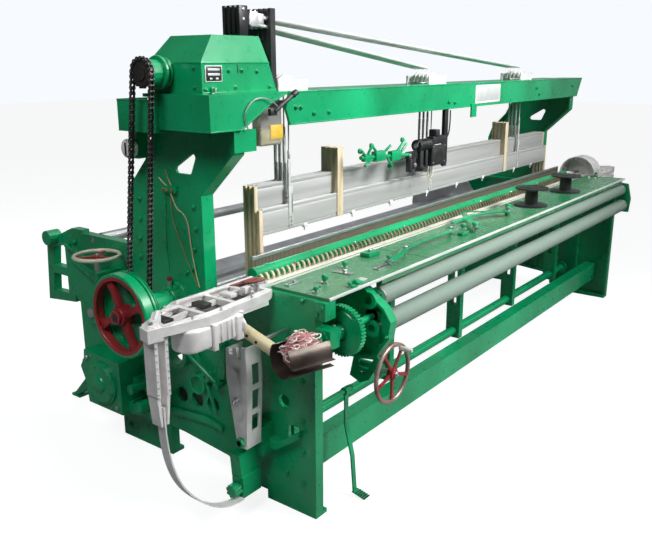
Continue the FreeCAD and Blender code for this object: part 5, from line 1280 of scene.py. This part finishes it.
# %% [markdown]
# ## Empty spools
# Two black bobbins stand on the plate. Each is one turned profile, with six holes drawn as dark discs of painted shade
# and a dark label, both thin discs laid on its top, since a cut hole would add many faces for so little.

# %% Empty spools on the plate
SPOOLS = ((2085, 78), (2665, 92))
for place, (x, y) in enumerate(SPOOLS):
    spool = turned([(0, 24), (0, 90), (2, 92), (6, 92), (8, 89), (9, 40), (12, 36), (91, 36), (94, 40), (95, 89),
                    (97, 92), (101, 92), (103, 90), (103, 24), (0, 24)], (x, y, PLATE_TOP), "z", black_paint, 56)
    # The holes are dark discs: painted shade where the holes would be.
    holes = [round_bar((x + dx, y + dy, 978), (x + dx, y + dy, 979.2), 9, dark_steel, 14, 0)
             for dx, dy in on_circle(56, even_angles(6))]
    label = round_bar((x, y, 977.6), (x, y, 979.4), 30, dark_steel, 28, 0)
    fused([spool, label] + holes, f"spool_{place + 1}", "loom")
print("spools", len(SPOOLS))

# %% [markdown]
# ## Weft detector
# A black unit hangs from the beam over the middle of the sley, with an arm to the left and a small motor. It is put
# together from blocks and bars, as the real one is bolted up from separate parts.

# %% Detector: bracket, motor fins and screws
unit = [block(1572, 1608, 368, 388, 1150, 1428, black_paint, 2.5),
        round_bar((1283, 366, 1262), (1294, 366, 1262), 30, black_paint, 28, 2),
        round_bar((1276, 366, 1262), (1286, 366, 1262), 12, steel, 20, 1.5)]
unit += [hoop((x, 366, 1262), "x", 28.4, 1.5, black_paint, 32, 6) for x in range(1304, 1396, 11)]
unit += [block(1404, 1536, 341.8, 345, 1156, 1254, black_paint, 2),
         block(1420, 1520, 340.6, 343, 1176, 1232, dark_steel, 1.5)]
unit += [round_bar((x, 341.8, z), (x, 337.8, z), 4.2, steel, 6, 0.7) for x in (1412, 1528) for z in (1166, 1246)]
unit += [block(1206, 1290, 360, 372, 1200, 1240, black_paint, 2.5),
         round_bar((1218, 356, 1220), (1218, 376, 1220), 10, steel, 16, 1.5),
         block(1208, 1230, 352, 380, 1140, 1204, black_paint, 3)]
fused(unit, "detector_parts", "loom")
print("detector parts", len(unit))

# %% Detector: feelers and arms
cluster = [round_bar((800, 366, 1250), (1214, 366, 1226), 9, paint, 16, 1),
           block(905, 985, 350, 382, 1222, 1268, paint, 5),
           block(1040, 1120, 352, 380, 1210, 1258, paint, 5), block(820, 868, 354, 378, 1230, 1262, paint, 4)]
cluster += [round_bar((x, 366, 1240), (x + dx, 352 + dy, 1240 + dz), 6.5, paint, 12, 1.5)
            for x, dx, dy, dz in ((850, -56, 0, 40), (955, -70, 8, 56), (955, 60, -8, 50), (1085, 66, 0, 62),
                                  (900, -80, 4, -28), (1010, 30, 0, -52), (1130, 50, 6, 44), (840, 20, -6, 58))]
cluster += [round_bar((x, 360, z), (x, 372, z), 12, paint, 16, 2)
            for x, z in ((796, 1280), (886, 1296), (1150, 1302), (1040, 1188))]
fused(cluster, "feeler_cluster")
arms = [block(1236, 1262, 352, 380, 1150, 1206, black_paint, 3),
        block(1300, 1330, 350, 382, 1132, 1236, black_paint, 3),
        block(1352, 1376, 350, 382, 1150, 1236, black_paint, 3),
        round_bar((1318, 342, 1150), (1318, 388, 1150), 14, black_paint, 20, 1.5),
        round_bar((1250, 346, 1172), (1250, 386, 1172), 10, steel, 16, 1.5),
        block(1420, 1560, 348, 384, 1256, 1296, black_paint, 3),
        block(1440, 1480, 344, 388, 1294, 1330, black_paint, 3)]
fused(arms, "detector_arms", "loom")
print("feelers and arms", len(cluster) + len(arms))

# %% Detector: leads
looped = [pipe([(1240, 352, 1206), (1246, 348, 1262), (1280, 346, 1290), (1330, 348, 1296), (1420, 350, 1280)], 2.6,
               "lead_a", black_paint),
          pipe([(1390, 356, 1150), (1376, 352, 1104), (1400, 350, 1080), (1430, 352, 1110), (1428, 354, 1156)], 2.4,
               "lead_b", cream)]
fused(looped, "detector_leads", "loom")
lead = pipe([(1550, 372, 1240), (1585, 360, 1270), (1600, 352, 1340), (1594, 352, 1420)], 3.5, "detector_lead",
            black_paint)
fused([lead], "detector_lead", "loom")
print("leads", len(looped) + 1)

# %% [markdown]
# ## Bolts and fittings of the frame
# Each bolt, cover and plug that shows in the photograph on the dobby end is here. The far end gets the same bolts at
# the same places, since both side frames come from one pattern.

# %% Bolts of the posts, gantries and cross beams
near = [(0, 54, 856), (0, 57, 545), (0, 58, 386), (0, 58, 263), (0, 59, 132), (0, 136, 151),
        (0, 582, 1128), (0, 576, 1043), (0, 587, 962), (0, 601, 883),
        (0, 640, 860), (0, 900, 1128), (0, 905, 1043), (0, 912, 962), (0, 918, 883)]
bolt_rows(near, (-1, 0, 0), "near_bolts", paint, 9.5)
bolt_rows([(0, 990, 640), (0, 860, 640), (0, 1380, 880), (0, 1390, 300), (0, 850, 60), (0, 1080, 60)],
          (-1, 0, 0), "rear_bolts", paint, 11)
far = [(FAR_FACE, y, z) for _, y, z in near]
bolt_rows(far, (1, 0, 0), "far_bolts", paint, 9.5)
block_bits = [block(-3, 60, -48, 3, 795, 864, paint, 3)]
block_bits += [round_bar((-2, y, z), (-11, y, z), 8, paint, 6, 1.2) for y, z in ((-14, 818), (-34, 846))]
fused(block_bits, "post_top_bolts")
bolt_rows([(x, 100, z) for x in (70, 3396) for z in (150, 212)], (0, -1, 0), "base_bolts", paint, 9)
print("bolts", len(near) + len(far))

# %% [markdown]
# ## Rods and levers on the dobby end
# Round rods with bosses cross the face of the end, between the let-off and the take-up. They are painted with the
# frame, so they are one piece of green bars, bosses, a ring and two curved plates.

# %% Rods and levers on the dobby end
links = [round_bar((-22, 1430, 860), (-22, 1120, 770), 8, paint, 16, 1),
         round_bar((-20, 1400, 800), (-20, 1150, 690), 6, paint, 16, 1),
         round_bar((-26, 760, 590), (-26, 470, 430), 9, paint, 16, 1),
         round_bar((-14, 640, 640), (-14, 500, 300), 8, paint, 16, 1),
         round_bar((-30, 540, 445), (0, 540, 445), 24, paint, 28, 3),
         round_bar((-40, 470, 430), (0, 470, 430), 15, paint, 20, 2),
         round_bar((-36, 760, 590), (0, 760, 590), 15, paint, 20, 2), hoop((-16, 600, 395), "x", 40, 6, paint, 48, 10),
         cut_plate([(860, 232), (560, 262), (470, 240), (470, 216), (560, 226), (860, 200)], "x", -14, -4, paint, 2.5,
                   2),
         cut_plate([(430, 610), (458, 604), (480, 470), (476, 452), (444, 456), (436, 480)], "x", -20, -8, paint, 3, 2)]
links += [round_bar((-20, y, z), (-30, y, z), 8, paint, 6, 1.5)
          for y, z in ((540, 445), (470, 430), (760, 590), (446, 596))]
links += [round_bar((-1, y, z), (-16, y, z), 14, paint, 24, 2)
          for y, z in ((1430, 860), (1120, 770), (1400, 800), (1150, 690))]
fused(links, "end_linkage")
print("links", len(links))

# %% [markdown]
# ## Painted shade behind the holes, and gearbox covers
# Through the round holes of the side frame one sees shade: a dark sheet behind them is painted shade, and it hides the
# far wall. The let-off's gearbox has a turned cover with a raised middle, a ring of six bolts, two plugs and two rings.

# %% Dark sheet of painted shade behind the row of round holes
# A dark sheet inside the frame that stands for the shade seen through the holes.
shade_sheet = block(17, 20, 470, 775, 262, 372, dark_steel, 1)
fused([shade_sheet], "painted_shade_sheet", "loom")
print("shade_sheet", shade_sheet.dimensions)

# %% Covers of the let-off gearbox
BOX_Y, BOX_Z = 1085, 310
cover = [turned([(0, 92), (-5, 88), (-8, 84), (-8, 0)], (-138, BOX_Y, BOX_Z), "x", paint, 64),
         turned([(0, 40), (-8, 36), (-12, 30), (-12, 0)], (-146, BOX_Y, BOX_Z), "x", paint, 40),
         round_bar((-128, 1180, 410), (-140, 1180, 410), 13, steel, 6, 2),
         round_bar((-128, 990, 220), (-138, 990, 220), 11, steel, 6, 2),
         hoop((-122, 905, 322), "x", 17, 2.2, paint, 40, 8), hoop((-134, 840, 262), "x", 20, 2.4, paint, 40, 8)]
fused(cover, "gearbox_covers")
bolt_rows([(-138, BOX_Y + dy, BOX_Z + dz) for dy, dz in on_circle(82, even_angles(6, 0.3))],
          (-1, 0, 0), "gearbox_bolts", paint, 7)
print("gearbox dressed")

# %% [markdown]
# ## Small fittings
# The right end has a stop button and a bare plate, the selector knob has a turned rim with a ring of eight dots, and
# the treadle has a ribbed tread. They are small, but they are where a hand or a foot goes, so the eye looks for them.

# %% Right end: button and plates
bits = [block(3380, 3428, 114, 124, 876, 930, pale_plate, 2),
        block(3384, 3424, 112.4, 115, 884, 922, cream_enamel, 1.2)]
bits += [block(3424, 3462, 128, 170, 868, 880, paint, 3),
         round_bar((3445, 148, 880), (3445, 148, 888), 15, steel, 24, 1.5),
         round_bar((3445, 148, 888), (3445, 148, 900), 13, red_paint, 24, 3)]
bits += [round_bar((x, y, 874), (x, y, 882), 8, white_look, 20, 2) for x, y in ((3300, 150), (3350, 170), (3330, 120))]
fused(bits, "right_end_fittings", "loom")
print("right end dressed")

# %% Knob, grease nipples and treadle tread
KNOB_Y, KNOB_Z = 846, 1340
face = [turned([(-7, 30), (-9, 33), (-9, 36), (-5, 37.2), (2, 37.2), (4, 30)], (-79, KNOB_Y, KNOB_Z), "x", white_look,
               48),
        round_bar((-86, KNOB_Y, KNOB_Z), (-94, KNOB_Y, KNOB_Z), 27.5, white_look, 36, 3),
        block(-98, -92, 842, 850, 1316, 1364, dark_steel, 1.5)]
face += [round_bar((-85.5, KNOB_Y + dy, KNOB_Z + dz), (-88.5, KNOB_Y + dy, KNOB_Z + dz), 1.8, dark_steel, 8, 0)
         for dy, dz in on_circle(32, even_angles(8))]
fused(face, "knob_face", "selector")
nipples = []
for x, y, z, out in ((0, 345, 225, -1), (FAR_FACE, 345, 225, 1)):
    nipples += [round_bar((x, y, z), (x + 9 * out, y, z), 6, brass, 6, 1),
                round_bar((x + 9 * out, y, z), (x + 16 * out, y, z), 3.6, brass, 12, 1)]
fused(nipples, "grease_nipples", "loom")
tread = [block(205, 241, -80 + 10 * k, -76 + 10 * k, 11.2 + 2.3 * k, 14.6 + 2.3 * k, dark_steel, 0.6) for k in range(5)]
fused(tread, "treadle_tread", "foot_treadle")
print("small fittings", len(nipples))
